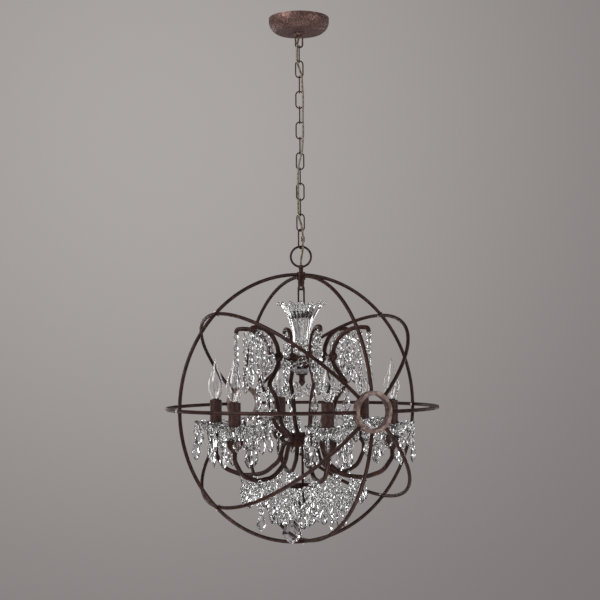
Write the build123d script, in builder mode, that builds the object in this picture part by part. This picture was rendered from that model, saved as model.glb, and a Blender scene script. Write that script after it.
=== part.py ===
"""Orb chandelier: a crystal chandelier in a cage of five rings, on a chain from a ceiling canopy.

Millimetres. The origin is the middle of the canopy's ceiling face and +Z is up, so all of it hangs
below Z = 0. The cage's two hub rings face -Y (front) and +Y (back).
"""

import os
from math import atan2, cos, degrees, hypot, inf, pi, radians, sin, sqrt, tan

from build123d import *

os.makedirs("parts", exist_ok=True)

# ---- driving dimensions ----

# clearances
SEAT = 0.3  # between pieces that move on each other
WELD = 0.15  # left for the weld where a tube meets another piece
SLIP = 0.1  # round a rod or a shank in its hole, on the radius

# canopy
CANOPY_TOP_R = 69.5
CANOPY_BASE_R = 52.5
CANOPY_H = 33.0
CANOPY_LIP_H = 5.0
CANOPY_WALL = 1.2
NIPPLE_R = 5.0
NIPPLE_BORE_R = 3.5
NUT_FLATS = 15.0
NUT_H = 3.5
BRACKET_L = 104.0
BRACKET_W = 20.0
BRACKET_T = 2.0
SLOT_L = 16.0
SLOT_W = 5.0
SLOT_SPACING = 70.0
EARTH_X = 18.0
BLOCK_L = 24.0
BLOCK_W = 14.0
BLOCK_H = 12.0
COLLAR_R = 12.0
COLLAR_H = 6.0
LOOP_W = 20.0
LOOP_WIRE = 4.0
LOOP_DROP = 36.0  # from the canopy's base to the underside of the loop

# chain
LINK_L = 41.9
LINK_W = 20.0
LINK_WIRE = 3.0
LINK_COUNT = 12
CHAIN_TURN = -29.1  # degrees about Z from +X to the plane of the canopy loop
QUICK_L = 47.5
QUICK_W = 21.0
QUICK_WIRE = 3.5
QUICK_TURN = 55.0  # degrees about Z from the plane of the last link to the quick link's
QUICK_NUT_FLATS = 7.0
QUICK_NUT_H = 13.0

# supply cord
CORD_D = 4.6

# cage
TOP_RING_OUTER = 51.5
TOP_RING_WIRE = 5.0
NECK_H = 9.5
CAGE_R = 300.0  # centre line of the rings that meet the hubs
RING_TUBE = 8.0
POLE_BOSS_R = 10.0
HUB_OUTER_R = 44.0
HUB_WALL = 8.5
RIVET_R = 1.5
RIVET_HEAD_R = 3.4
RIVET_HEAD_H = 1.8

# what the chandelier hangs in, below the cage's top
STEM_R = 7.5
STEM_L = 24.0
CLEVIS_SLOT = 5.4
CLEVIS_PIN_R = 2.0
HANGER_W = 17.0
HANGER_L = 50.0
HANGER_WIRE = 4.2
ROD_EYE_OUTER = 14.0
ROD_R = 3.0

# middle column, heights from the cage's centre
CROWN_TOP = 219.0
CROWN_H = 15.0
CROWN_TOP_R = 32.0
CROWN_BASE_R = 21.0
VASE_RIM = 243.0
VASE_FOOT = 142.0
VASE_RIM_R = 57.0
VASE_NECK_R = 20.5
VASE_WALL = 2.5
VASE_FLUTES = 12
BALL_H = 24.0
BALL_R = 21.0
BOWL_H = 29.0
BOWL_R = 34.0
BOWL_WALL = 2.0
DISH_H = 12.0
DISH_R = 27.0
FINIAL_H = 30.0
FINIAL_R = 13.5

# scroll bars and arms, as radius from the axis and height from the cage's centre
ARM_COUNT = 6
ARM_TURN = -14.0  # degrees about Z from the front hub to the first arm
BAR_R = 5.0
WAIST_R = 73.0
WAIST_Z = 117.0
COLLAR_OUT = 11.0  # radius of the collar at the waist
SPOKE_R = 3.2
CUSP_R = 104.0  # where the bar's belly comes to a point
CUSP_Z = 56.0
HUB_RING_R = 33.0
HUB_RING_BORE = 24.0
HUB_RING_TOP = -58.0
HUB_RING_H = 30.0
ARM_R = 5.0
ARM_LOW_R = 134.0  # where an arm's middle is lowest
CANDLE_R = 208.0
CUP_BASE = -92.0
CUP_H = 27.0
CUP_TOP_R = 19.5
PAN_R = 53.0
PAN_H = 35.0
PAN_WALL = 2.2
PAN_SCALLOPS = 12
PAN_WAIST = 0.62  # where the pan's bowl turns into its rim, as a share of its radius
PAN_WAIST_H = 0.55  # and of its height
SLEEVE_R = 13.8
SLEEVE_WALL = 1.2
SLEEVE_TOP = 17.0
SLEEVE_BASE = -46.0
SOCKET_R = 11.0
CANDLE_TUBE_R = 5.0  # of the cup's stem that the pan and the sleeve stand on
SOCKET_H = 40.0
BULB_R = 17.5
BULB_TIP = 111.0
BULB_BASE_R = 7.0
BULB_BASE_H = 22.0
BULB_GLASS = 0.9

# lower basket
BASKET_RING_Z = -178.0
BASKET_RING_R = 30.0
BASKET_RING_H = 12.0
BASKET_ROD_R = 3.0
BOTTOM_FINIAL_TOP = -208.0
BOTTOM_FINIAL_H = 28.0
BOTTOM_FINIAL_R = 15.0

# glass
BEAD_W = 14.0
BEAD_T = 6.0
BEAD_GAP = 0.5
PENDANT_L = 38.0
PENDANT_W = 20.0
PENDANT_T = 7.0
SCROLL_TOP_Z = 181.5
KITE_TURN = 50.0  # degrees from the beads of its string to a kite
# (distance from the axis, octagons) of the strings on each scroll, and the octagons on its end
SCROLL_STRINGS = [(95.0, 2), (108.5, 4), (122.0, 6), (135.5, 8)]
SCROLL_END_BEADS = 6
CUSP_STRINGS = [(104.0, 1)]
PAN_PENDANTS = 10
PAN_STRINGS = [(3, 46.0, 22.0), (1, 38.0, 20.0)]  # octagons, kite length and width, in turn
WAIST_SPARE = 1  # beads more than the shallowest arc needs
CUSP_SPARE = 1
# in the basket: (bead number on the string, length, width)
RAY_KITES = [(3, 38.0, 20.0), (5, 46.0, 24.0), (7, 46.0, 24.0)]
SWAG_KITES = [(1, 38.0, 20.0), (3, 38.0, 20.0), (5, 38.0, 20.0), (7, 38.0, 20.0), (9, 38.0, 20.0)]
INNER_KITES = [(2, 38.0, 20.0), (5, 38.0, 20.0)]
SWAG_R = 150.0
DEEP_R = 118.0
DEEP_LOW_R = 97.0  # the lowest point of a deep garland, midway between two arms
DEEP_BEADS = 7
DEEP_FILL = 0.968  # distance between a deep garland's ends over its length
LOW_KITE_L = 34.0
LOW_KITE_W = 24.0
FRONT_KITE_L = 54.0
FRONT_KITE_W = 46.0
DISC_KITE_L = 30.0
DISC_KITE_W = 14.0
BOTTOM_DROP_L = 43.0
BOTTOM_DROP_W = 24.0
BOTTOM_DROP_T = 14.0

# ---- heights that follow ----

CANOPY_BASE = -CANOPY_H
LOOP_BOTTOM = CANOPY_BASE - LOOP_DROP
LINK_PITCH = LINK_L - 2 * LINK_WIRE - SEAT
FIRST_LINK_TOP = LOOP_BOTTOM + LOOP_WIRE + SEAT + LINK_WIRE
LAST_LINK_TOP = FIRST_LINK_TOP - (LINK_COUNT - 1) * LINK_PITCH
QUICK_TOP = LAST_LINK_TOP - LINK_L + LINK_WIRE + SEAT + QUICK_WIRE
TOP_RING_TOP = QUICK_TOP - QUICK_L + QUICK_WIRE + SEAT + TOP_RING_WIRE
TOP_RING_BASE = TOP_RING_TOP - TOP_RING_OUTER

LAP = RING_TUBE / 2  # a crossing ring lies this much further out, and both are notched
MERIDIAN_R = CAGE_R + LAP
EQUATOR_R = CAGE_R + 2 * LAP
BOSS_TOP = MERIDIAN_R + RING_TUBE / 2 + 2.0  # above the cage's centre
BOSS_BASE = CAGE_R - RING_TUBE / 2 - 4.0
ORB_Z = TOP_RING_BASE - NECK_H - BOSS_TOP
HUB_DEPTH = RING_TUBE + EQUATOR_R - CAGE_R + 1.0
HUB_Y = sqrt(MERIDIAN_R**2 - HUB_OUTER_R**2)

STEM_BASE = BOSS_BASE - STEM_L
PIN_Z = STEM_BASE + 6.0
HANGER_TOP = PIN_Z + CLEVIS_PIN_R + SEAT + HANGER_WIRE
HANGER_BASE = HANGER_TOP - HANGER_L
ROD_EYE_TOP = HANGER_BASE + HANGER_WIRE + SEAT + HANGER_WIRE
BALL_TOP = VASE_FOOT
BOWL_TOP = BALL_TOP - BALL_H
DISH_TOP = BOWL_TOP - BOWL_H
FINIAL_TOP = DISH_TOP - DISH_H
CUP_TOP = CUP_BASE + CUP_H
ARM_ANGLES = [ARM_TURN - 90 + 360 / ARM_COUNT * i for i in range(ARM_COUNT)]


def keep(piece, name):
    """Names a finished piece and writes it to its own file."""
    piece.part.label = name
    export_step(piece.part, f"parts/{name}.step")


def upright(turn, z=0.0, r=0.0):
    """A plane through the axis, turned about Z: its x runs outwards from radius r and its y up from z."""
    out = Vector(cos(radians(turn)), sin(radians(turn)), 0)
    return Plane(origin=out * r + Vector(0, 0, z), x_dir=out, z_dir=out.cross(Vector(0, 0, 1)))


def at_orb(z=0.0):
    """A level plane at a height above the cage's centre."""
    return Plane.XY.offset(ORB_Z + z)


# ---- ceiling end ----


def make_canopy():
    """The spun cup: a straight lip at the ceiling, a bellied side and a flat base with the nipple's hole."""
    with BuildPart() as canopy_cup:
        with BuildSketch(Plane.XZ):
            with BuildLine():
                lip = Line((CANOPY_TOP_R, 0), (CANOPY_TOP_R, -CANOPY_LIP_H))
                base = (CANOPY_BASE_R, CANOPY_BASE)
                belly = (
                    CANOPY_BASE_R + 0.78 * (CANOPY_TOP_R - CANOPY_BASE_R),
                    CANOPY_BASE + 0.42 * (CANOPY_H - CANOPY_LIP_H),
                )
                ThreePointArc(lip @ 1, belly, base)
                Line(base, (0, CANOPY_BASE))
                Line((0, CANOPY_BASE), (0, 0))
                Line((0, 0), lip @ 0)
            make_face()
        revolve(axis=Axis.Z)
        bottom = faces().sort_by(Axis.Z)[0]
        fillet(bottom.edges(), 3.0)
        top = faces().sort_by(Axis.Z)[-1]
        offset(amount=-CANOPY_WALL, openings=top)
        with Locations((0, 0, CANOPY_BASE)):
            Cylinder(NIPPLE_R + SLIP, 4 * CANOPY_WALL, mode=Mode.SUBTRACT)
    keep(canopy_cup, "canopy_cup")


def make_bracket():
    """The strap that is screwed to the ceiling, with two slots, a threaded middle and an earth screw."""
    with BuildPart() as mounting_bracket:
        with BuildSketch(Plane.XY):
            SlotOverall(BRACKET_L, BRACKET_W)
            with GridLocations(SLOT_SPACING, 0, 2, 1):
                SlotOverall(SLOT_L, SLOT_W, mode=Mode.SUBTRACT)
            Circle(NIPPLE_R + SLIP, mode=Mode.SUBTRACT)
            with Locations((EARTH_X, 0)):
                Circle(1.6, mode=Mode.SUBTRACT)
        extrude(amount=-BRACKET_T)
    keep(mounting_bracket, "mounting_bracket")

    with BuildPart() as earth_screw:
        with BuildSketch(Plane.XY.offset(-BRACKET_T - SEAT)):
            with Locations((EARTH_X, 0)):
                Circle(3.0)
        extrude(amount=-2.2)
        with BuildSketch(Plane.XY.offset(-BRACKET_T - SEAT)):
            with Locations((EARTH_X, 0)):
                Circle(1.6 - SLIP)
        extrude(amount=BRACKET_T)
    keep(earth_screw, "earth_screw")


def make_nipple():
    """The hollow threaded nipple from the bracket down through the cup into the collar, and its two nuts."""
    nipple_base = CANOPY_BASE - COLLAR_H / 2
    with BuildPart() as threaded_nipple:
        with BuildSketch(Plane.XY.offset(nipple_base)):
            Circle(NIPPLE_R)
            Circle(NIPPLE_BORE_R, mode=Mode.SUBTRACT)
        extrude(amount=-nipple_base - 0.2)
    keep(threaded_nipple, "threaded_nipple")

    with BuildPart() as nipple_nuts:
        for nut_top in (-BRACKET_T - SEAT, CANOPY_BASE + CANOPY_WALL + SEAT + NUT_H):
            with BuildSketch(Plane.XY.offset(nut_top)):
                RegularPolygon(NUT_FLATS / 2, 6, major_radius=False)
                Circle(NIPPLE_R + SLIP, mode=Mode.SUBTRACT)
            extrude(amount=-NUT_H)
    keep(nipple_nuts, "nipple_nuts")


def make_terminal_block():
    """A three-way screw terminal block that lies on the cup's floor beside the nipple."""
    floor = CANOPY_BASE + CANOPY_WALL + SEAT
    with BuildPart() as terminal_block:
        with BuildSketch(Plane.XY.offset(floor)):
            with Locations((0, -CANOPY_BASE_R / 2 - 4)):
                RectangleRounded(BLOCK_L, BLOCK_W, 1.5)
        extrude(amount=BLOCK_H)
        top = faces().sort_by(Axis.Z)[-1]
        with Locations(Plane(top)):
            with GridLocations(BLOCK_L / 3, BLOCK_W / 2, 3, 2):
                Hole(1.6, depth=4.0)
    keep(terminal_block, "terminal_block")


def make_loop():
    """The screw collar under the cup and the square-shouldered loop that the chain hangs in."""
    with BuildPart() as canopy_collar:
        with BuildSketch(Plane.XZ):
            with BuildLine():
                Polyline(
                    (NIPPLE_R + SLIP, CANOPY_BASE),
                    (COLLAR_R, CANOPY_BASE),
                    (COLLAR_R, CANOPY_BASE - COLLAR_H * 0.4),
                    (COLLAR_R * 0.72, CANOPY_BASE - COLLAR_H),
                    (NIPPLE_BORE_R + 0.5, CANOPY_BASE - COLLAR_H),
                    (NIPPLE_BORE_R + 0.5, CANOPY_BASE - COLLAR_H / 2 - SEAT),
                    (NIPPLE_R + SLIP, CANOPY_BASE - COLLAR_H / 2 - SEAT),
                    close=True,
                )
            make_face()
        revolve(axis=Axis.Z)
    keep(canopy_collar, "canopy_collar")

    shoulder = CANOPY_BASE - COLLAR_H
    height = shoulder - LOOP_BOTTOM
    plane = upright(CHAIN_TURN, shoulder)
    bow = LOOP_W / 2
    with BuildPart() as canopy_loop:
        with BuildSketch(plane):
            with Locations((0, -height / 2)):
                RectangleRounded(LOOP_W, height, bow - 1.5)
            with Locations((0, -height / 2)):
                RectangleRounded(LOOP_W - 2 * LOOP_WIRE, height - 2 * LOOP_WIRE, bow - 1.5 - LOOP_WIRE,
                                 mode=Mode.SUBTRACT)
        extrude(amount=LOOP_WIRE / 2, both=True)
        fillet(edges().filter_by(lambda e: abs((e @ 0.5 - e @ 0.0).dot(plane.z_dir)) < 1e-6), 1.4)
        with Locations((0, 0, shoulder - LOOP_WIRE / 2)):
            Cylinder(CORD_D / 2 + SEAT, 3 * LOOP_WIRE, mode=Mode.SUBTRACT)
    keep(canopy_loop, "canopy_loop")


# ---- chain ----


def oval(plane, length, width, wire):
    """A closed oval of round wire that hangs from the plane's origin, its long side along the plane's -y."""
    bow_r = (width - wire) / 2
    straight = length - width
    upper = -width / 2
    with BuildSketch(Plane(plane.origin + plane.y_dir * upper, x_dir=plane.x_dir, z_dir=-plane.y_dir)) as legs:
        with Locations((-bow_r, 0), (bow_r, 0)):
            Circle(wire / 2)
    extrude(legs.sketch, amount=straight)
    for bow_y, turn in ((upper, 180), (upper - straight, -180)):
        middle = plane.origin + plane.y_dir * bow_y
        with BuildSketch(Plane(middle, x_dir=plane.x_dir, z_dir=-plane.y_dir)) as bow:
            with Locations((bow_r, 0)):
                Circle(wire / 2)
        revolve(bow.sketch, axis=Axis(middle, plane.z_dir), revolution_arc=turn)


def make_chain():
    """Twelve plain links, each turned a quarter from the one above it."""
    for number in range(LINK_COUNT):
        turn = CHAIN_TURN + (90 if number % 2 == 0 else 0)
        with BuildPart() as chain_link:
            oval(upright(turn, FIRST_LINK_TOP - number * LINK_PITCH), LINK_L, LINK_W, LINK_WIRE)
        keep(chain_link, f"chain_link_{number + 1:02d}")


def make_quick_link():
    """The quick link: one leg is parted, and a hexagon sleeve nut closes it."""
    plane = upright(CHAIN_TURN + QUICK_TURN, QUICK_TOP)
    leg = plane.x_dir * ((QUICK_W - QUICK_WIRE) / 2)
    nut_top = plane.origin + leg + Vector(0, 0, -(QUICK_L - QUICK_NUT_H) / 2)
    with BuildPart() as quick_link:
        oval(plane, QUICK_L, QUICK_W, QUICK_WIRE)
        with BuildSketch(Plane(nut_top + Vector(0, 0, -QUICK_NUT_H / 2), z_dir=(0, 0, -1))):
            Circle(QUICK_WIRE)
        extrude(amount=1.0, mode=Mode.SUBTRACT)
    keep(quick_link, "quick_link")

    with BuildPart() as quick_link_nut:
        with BuildSketch(Plane(nut_top, x_dir=plane.x_dir, z_dir=(0, 0, -1))):
            RegularPolygon(QUICK_NUT_FLATS / 2, 6, major_radius=False)
            Circle(QUICK_WIRE / 2 + SLIP, mode=Mode.SUBTRACT)
        extrude(amount=QUICK_NUT_H)
    keep(quick_link_nut, "quick_link_nut")


# ---- cage ----


def make_top_ring():
    """The big hanging ring, its foot swelled into a boss that the cord enters, and the neck with the pole boss."""
    plane = upright(CHAIN_TURN, TOP_RING_BASE)
    ring_r = (TOP_RING_OUTER - TOP_RING_WIRE) / 2
    middle = Vector(0, 0, TOP_RING_BASE + TOP_RING_OUTER / 2)
    cord_hole = CORD_D / 2 + SEAT
    with BuildPart() as top_ring:
        with BuildSketch(Plane(middle + plane.x_dir * ring_r, x_dir=plane.x_dir, z_dir=(0, 0, 1))):
            Circle(TOP_RING_WIRE / 2)
        revolve(axis=Axis(middle, plane.z_dir))
        with BuildSketch(Plane.XY.offset(TOP_RING_BASE)):
            Circle(cord_hole + 3.0)
        extrude(amount=TOP_RING_WIRE + 1.5, taper=8)
        with BuildSketch(Plane.XY.offset(TOP_RING_BASE)):
            Circle(cord_hole)
        extrude(amount=3 * TOP_RING_WIRE, both=True, mode=Mode.SUBTRACT)
    keep(top_ring, "top_ring")

    spigot = (BOSS_TOP - BOSS_BASE) / 2
    with BuildPart() as top_collar:
        with BuildSketch(Plane.XZ.offset(0)):
            with BuildLine():
                Polyline(
                    (cord_hole, TOP_RING_BASE),
                    (cord_hole + 3.0, TOP_RING_BASE),
                    (cord_hole + 2.0, TOP_RING_BASE - NECK_H * 0.5),
                    (cord_hole + 2.6, TOP_RING_BASE - NECK_H),
                    (POLE_BOSS_R - 1.5, ORB_Z + BOSS_TOP),
                    (POLE_BOSS_R, ORB_Z + BOSS_TOP - 1.5),
                    (POLE_BOSS_R, ORB_Z + BOSS_BASE),
                    (STEM_R * 0.7 + SLIP, ORB_Z + BOSS_BASE),
                    (STEM_R * 0.7 + SLIP, ORB_Z + BOSS_BASE + spigot + SEAT),
                    (cord_hole, ORB_Z + BOSS_BASE + spigot + SEAT),
                    close=True,
                )
            make_face()
        revolve(axis=Axis.Z)
    keep(top_collar, "top_collar")


def ring_turn(tilt):
    """The rotation that stands a ring on the hub axis, tilted about it from level."""
    return (0, tilt, 0)


def rivet_spots():
    """Where two rings cross away from the hubs and the top: (tilt about the hub axis, inner ring's radius)."""
    spots = [(45 * i, CAGE_R) for i in (1, 3, 4, 5, 7)]
    return spots + [(45 * i, MERIDIAN_R) for i in (2, 6)]


def radial_plane(tilt, radius):
    """A plane square to a radius of the meridian ring; tilt 0 is the top, 90 is +X."""
    out = Vector(sin(radians(tilt)), 0, cos(radians(tilt)))
    return Plane(origin=Vector(0, 0, ORB_Z) + out * radius, x_dir=(0, 1, 0), z_dir=out)


def cut_rivet_holes(tilts):
    """Drills the rivet holes of these crossings through whatever ring is open."""
    for tilt in tilts:
        with BuildSketch(radial_plane(tilt, CAGE_R - RING_TUBE)) as hole:
            Circle(RIVET_R + SLIP)
        extrude(hole.sketch, amount=3 * RING_TUBE, mode=Mode.SUBTRACT)


def make_cage():
    """Five rings: one full circle square to the hub axis, and four that end on the hubs as pairs of arcs."""
    centre = Locations((0, 0, ORB_Z))
    notch = RING_TUBE / 2 + WELD
    with BuildPart() as meridian_ring:
        with centre:
            Torus(MERIDIAN_R, RING_TUBE / 2, rotation=(90, 0, 0))
            Torus(EQUATOR_R, notch, mode=Mode.SUBTRACT)
        with Locations((0, 0, ORB_Z + MERIDIAN_R)):
            Cylinder(POLE_BOSS_R + WELD, 4 * RING_TUBE, mode=Mode.SUBTRACT)
        cut_rivet_holes([45 * i for i in range(1, 8)])
    keep(meridian_ring, "meridian_ring")

    hub_rings = {"vertical_ring": 90, "rising_ring": -45, "falling_ring": 45}
    for name, tilt in hub_rings.items():
        with BuildPart() as hub_ring:
            with centre:
                Torus(CAGE_R, RING_TUBE / 2, rotation=ring_turn(tilt))
                Torus(MERIDIAN_R, notch, rotation=(90, 0, 0), mode=Mode.SUBTRACT)
                Cylinder(HUB_OUTER_R + WELD, 3 * CAGE_R, rotation=(90, 0, 0), mode=Mode.SUBTRACT)
            if name == "vertical_ring":
                with Locations((0, 0, ORB_Z + CAGE_R)):
                    Cylinder(POLE_BOSS_R + WELD, 4 * RING_TUBE, mode=Mode.SUBTRACT)
                cut_rivet_holes([180])
            else:
                cut_rivet_holes([90 + tilt, 270 + tilt])
        keep(hub_ring, name)

    with BuildPart() as equator_ring:
        with centre:
            Torus(EQUATOR_R, RING_TUBE / 2)
            Cylinder(HUB_OUTER_R + WELD, 3 * EQUATOR_R, rotation=(90, 0, 0), mode=Mode.SUBTRACT)
        cut_rivet_holes([90, 270])
    keep(equator_ring, "equator_ring")

    for name, side in (("front_hub", -1), ("back_hub", 1)):
        hub_plane = Plane(origin=(0, side * (HUB_Y - HUB_DEPTH / 2), ORB_Z), z_dir=(0, side, 0))
        with BuildPart() as hub:
            with BuildSketch(hub_plane):
                Circle(HUB_OUTER_R)
                Circle(HUB_OUTER_R - HUB_WALL, mode=Mode.SUBTRACT)
            extrude(amount=HUB_DEPTH)
            fillet(edges().filter_by(GeomType.CIRCLE), 1.2)
        keep(hub, name)

    with BuildPart() as crossing_rivets:
        for tilt, inner_r in rivet_spots():
            foot = inner_r - RING_TUBE / 2 - 0.05
            head = inner_r + LAP + RING_TUBE / 2 + 0.05
            with BuildSketch(radial_plane(tilt, foot)):
                Circle(RIVET_R)
            extrude(amount=head - foot)
            with BuildSketch(radial_plane(tilt, head)):
                Circle(RIVET_HEAD_R)
            extrude(amount=RIVET_HEAD_H, taper=35)
            with BuildSketch(radial_plane(tilt, foot)):
                Circle(RIVET_HEAD_R)
            extrude(amount=-RIVET_HEAD_H, taper=35)
    keep(crossing_rivets, "crossing_rivets")


# ---- what hangs from the cage's top ----


def make_stem():
    """The stem under the pole boss: a spigot, a round body and a slot that the hanger swings in, with its pin."""
    spigot = (BOSS_TOP - BOSS_BASE) / 2
    clevis = upright(CHAIN_TURN, ORB_Z + STEM_BASE)
    slot_h = HANGER_TOP + 3.5 - STEM_BASE
    with BuildPart() as orb_stem:
        with BuildSketch(at_orb(STEM_BASE)):
            Circle(STEM_R)
        extrude(amount=STEM_L)
        with BuildSketch(at_orb(BOSS_BASE)):
            Circle(STEM_R * 0.7)
        extrude(amount=spigot)
        fillet(edges().filter_by(GeomType.CIRCLE).sort_by(Axis.Z)[0], 1.0)
        with BuildSketch(clevis):
            with Locations((0, slot_h / 2)):
                Rectangle(4 * STEM_R, slot_h)
        extrude(amount=CLEVIS_SLOT / 2, both=True, mode=Mode.SUBTRACT)
        with BuildSketch(clevis):
            with Locations((0, PIN_Z - STEM_BASE)):
                Circle(CLEVIS_PIN_R + SLIP)
        extrude(amount=2 * STEM_R, both=True, mode=Mode.SUBTRACT)
    keep(orb_stem, "orb_stem")

    with BuildPart() as clevis_pin:
        with BuildSketch(clevis):
            with Locations((0, PIN_Z - STEM_BASE)):
                Circle(CLEVIS_PIN_R)
        extrude(amount=STEM_R + 1.0, both=True)
    keep(clevis_pin, "clevis_pin")

    with BuildPart() as hanger_link:
        oval(upright(CHAIN_TURN, ORB_Z + HANGER_TOP), HANGER_L, HANGER_W, HANGER_WIRE)
    keep(hanger_link, "hanger_link")


def make_rod():
    """The rod that the whole chandelier is threaded on, with its eye at the top."""
    eye = upright(CHAIN_TURN + 90)
    eye_r = (ROD_EYE_OUTER - HANGER_WIRE) / 2
    middle = Vector(0, 0, ORB_Z + ROD_EYE_TOP - ROD_EYE_OUTER / 2)
    rod_top = ROD_EYE_TOP - ROD_EYE_OUTER + HANGER_WIRE / 2
    rod_base = FINIAL_TOP - FINIAL_H / 2
    with BuildPart() as centre_rod:
        with BuildSketch(at_orb(rod_base)):
            Circle(ROD_R)
        extrude(amount=rod_top - rod_base)
        with BuildSketch(Plane(middle + eye.x_dir * eye_r, x_dir=eye.x_dir, z_dir=(0, 0, 1))):
            Circle(HANGER_WIRE / 2)
        revolve(axis=Axis(middle, eye.z_dir))
    keep(centre_rod, "centre_rod")


def round_piece(points, bore=ROD_R + SLIP):
    """A turned piece on the rod, from (radius, height above the cage's centre) points, with the rod's hole."""
    with BuildPart() as piece:
        with BuildSketch(Plane.XZ):
            with BuildLine():
                Polyline(*[(r, ORB_Z + z) for r, z in points], close=True)
            make_face()
        revolve(axis=Axis.Z)
        if bore:
            with Locations((0, 0, ORB_Z + points[0][1])):
                Cylinder(bore, 2 * CAGE_R, mode=Mode.SUBTRACT)
    return piece


def make_column():
    """Everything threaded on the rod: crown disc, vase, ball, bead bowl, dish and finial, from the top down."""
    crown = round_piece(
        [
            (0, CROWN_TOP),
            (CROWN_TOP_R, CROWN_TOP),
            (CROWN_TOP_R, CROWN_TOP - 2),
            (CROWN_BASE_R, CROWN_TOP - CROWN_H),
            (0, CROWN_TOP - CROWN_H),
        ],
    )
    keep(crown, "crown_disc")

    flare = [
        (VASE_RIM_R, VASE_RIM),
        (VASE_RIM_R - 9, VASE_RIM - 9),
        (VASE_NECK_R + 15, VASE_RIM - 30),
        (VASE_NECK_R + 6, VASE_RIM - 56),
        (VASE_NECK_R, VASE_RIM - 82),
        (VASE_NECK_R + 1, VASE_FOOT),
    ]
    with BuildPart() as glass_vase:
        with BuildSketch(Plane.XZ):
            with BuildLine():
                outer = Spline(*[(r, ORB_Z + z) for r, z in flare])
                Line(outer @ 1, (0, ORB_Z + VASE_FOOT))
                Line((0, ORB_Z + VASE_FOOT), (0, ORB_Z + VASE_FOOT + 2 * VASE_WALL))
                neck_in = (VASE_NECK_R - VASE_WALL, ORB_Z + VASE_FOOT + 2 * VASE_WALL)
                Line((0, ORB_Z + VASE_FOOT + 2 * VASE_WALL), neck_in)
                inner = [(r - VASE_WALL, ORB_Z + z) for r, z in reversed(flare[1:-1])]
                rim_in = (VASE_RIM_R - 0.6 * VASE_WALL, ORB_Z + VASE_RIM)
                Spline(neck_in, *inner, rim_in)
                Line(rim_in, outer @ 0)
            make_face()
        revolve(axis=Axis.Z)
        with BuildSketch(at_orb(VASE_RIM + 1)):
            with PolarLocations(VASE_RIM_R + 1.5, VASE_FLUTES):
                Circle(5.5)
        extrude(amount=-14, taper=12, mode=Mode.SUBTRACT)
        with Locations((0, 0, ORB_Z + VASE_FOOT)):
            Cylinder(ROD_R + SLIP, 8 * VASE_WALL, mode=Mode.SUBTRACT)
    keep(glass_vase, "glass_vase")

    with BuildPart() as glass_ball:
        for half in (1, -1):
            middle = BALL_TOP - BALL_H / 2
            for ring_r, ring_z, next_r, next_z in (
                (1.0, 0.0, 0.82, 0.62),
                (0.82, 0.62, 0.42, 1.0),
            ):
                with BuildSketch(at_orb(middle + half * ring_z * BALL_H / 2)):
                    RegularPolygon(ring_r * BALL_R, 12)
                with BuildSketch(at_orb(middle + half * next_z * BALL_H / 2)):
                    RegularPolygon(next_r * BALL_R, 12)
                loft(ruled=True)
        with Locations((0, 0, ORB_Z + BALL_TOP)):
            Cylinder(ROD_R + SLIP, 3 * BALL_H, mode=Mode.SUBTRACT)
    keep(glass_ball, "glass_ball")

    bowl = round_piece(
        [
            (0, BOWL_TOP - BOWL_H + BOWL_WALL),
            (BOWL_R * 0.30, BOWL_TOP - BOWL_H + BOWL_WALL),
            (BOWL_R * 0.72, BOWL_TOP - BOWL_H * 0.72),
            (BOWL_R - BOWL_WALL, BOWL_TOP - BOWL_H * 0.32),
            (BOWL_R - BOWL_WALL, BOWL_TOP - 6),
            (BALL_R * 0.42, BOWL_TOP - 6),
            (BALL_R * 0.42, BOWL_TOP),
            (BALL_R * 0.42 + 3, BOWL_TOP),
            (BALL_R * 0.42 + 5, BOWL_TOP - 4),
            (BOWL_R, BOWL_TOP - 4),
            (BOWL_R, BOWL_TOP - BOWL_H * 0.36),
            (BOWL_R * 0.76, BOWL_TOP - BOWL_H * 0.80),
            (BOWL_R * 0.34, BOWL_TOP - BOWL_H),
            (0, BOWL_TOP - BOWL_H),
        ],
    )
    keep(bowl, "bead_bowl")

    dish = round_piece(
        [
            (0, DISH_TOP),
            (DISH_R - 3, DISH_TOP),
            (DISH_R, DISH_TOP - 2),
            (DISH_R * 0.75, DISH_TOP - DISH_H * 0.6),
            (DISH_R * 0.42, DISH_TOP - DISH_H),
            (0, DISH_TOP - DISH_H),
        ],
    )
    keep(dish, "glass_dish")

    finial = round_piece(
        [
            (0, FINIAL_TOP),
            (FINIAL_R, FINIAL_TOP),
            (FINIAL_R, FINIAL_TOP - 2),
            (FINIAL_R * 0.5, FINIAL_TOP - 5),
            (FINIAL_R * 0.48, FINIAL_TOP - FINIAL_H * 0.5),
            (FINIAL_R * 0.62, FINIAL_TOP - FINIAL_H * 0.62),
            (FINIAL_R * 0.38, FINIAL_TOP - FINIAL_H * 0.8),
            (FINIAL_R * 0.2, FINIAL_TOP - FINIAL_H * 0.9),
            (0, FINIAL_TOP - FINIAL_H),
        ],
        bore=0,
    )
    with BuildPart() as upper_finial:
        add(finial.part)
        with BuildSketch(at_orb(FINIAL_TOP)):
            Circle(ROD_R + SLIP)
        extrude(amount=-FINIAL_H / 2 - SEAT, mode=Mode.SUBTRACT)
    keep(upper_finial, "upper_finial")


# ---- scroll bars and candle arms ----


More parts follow.
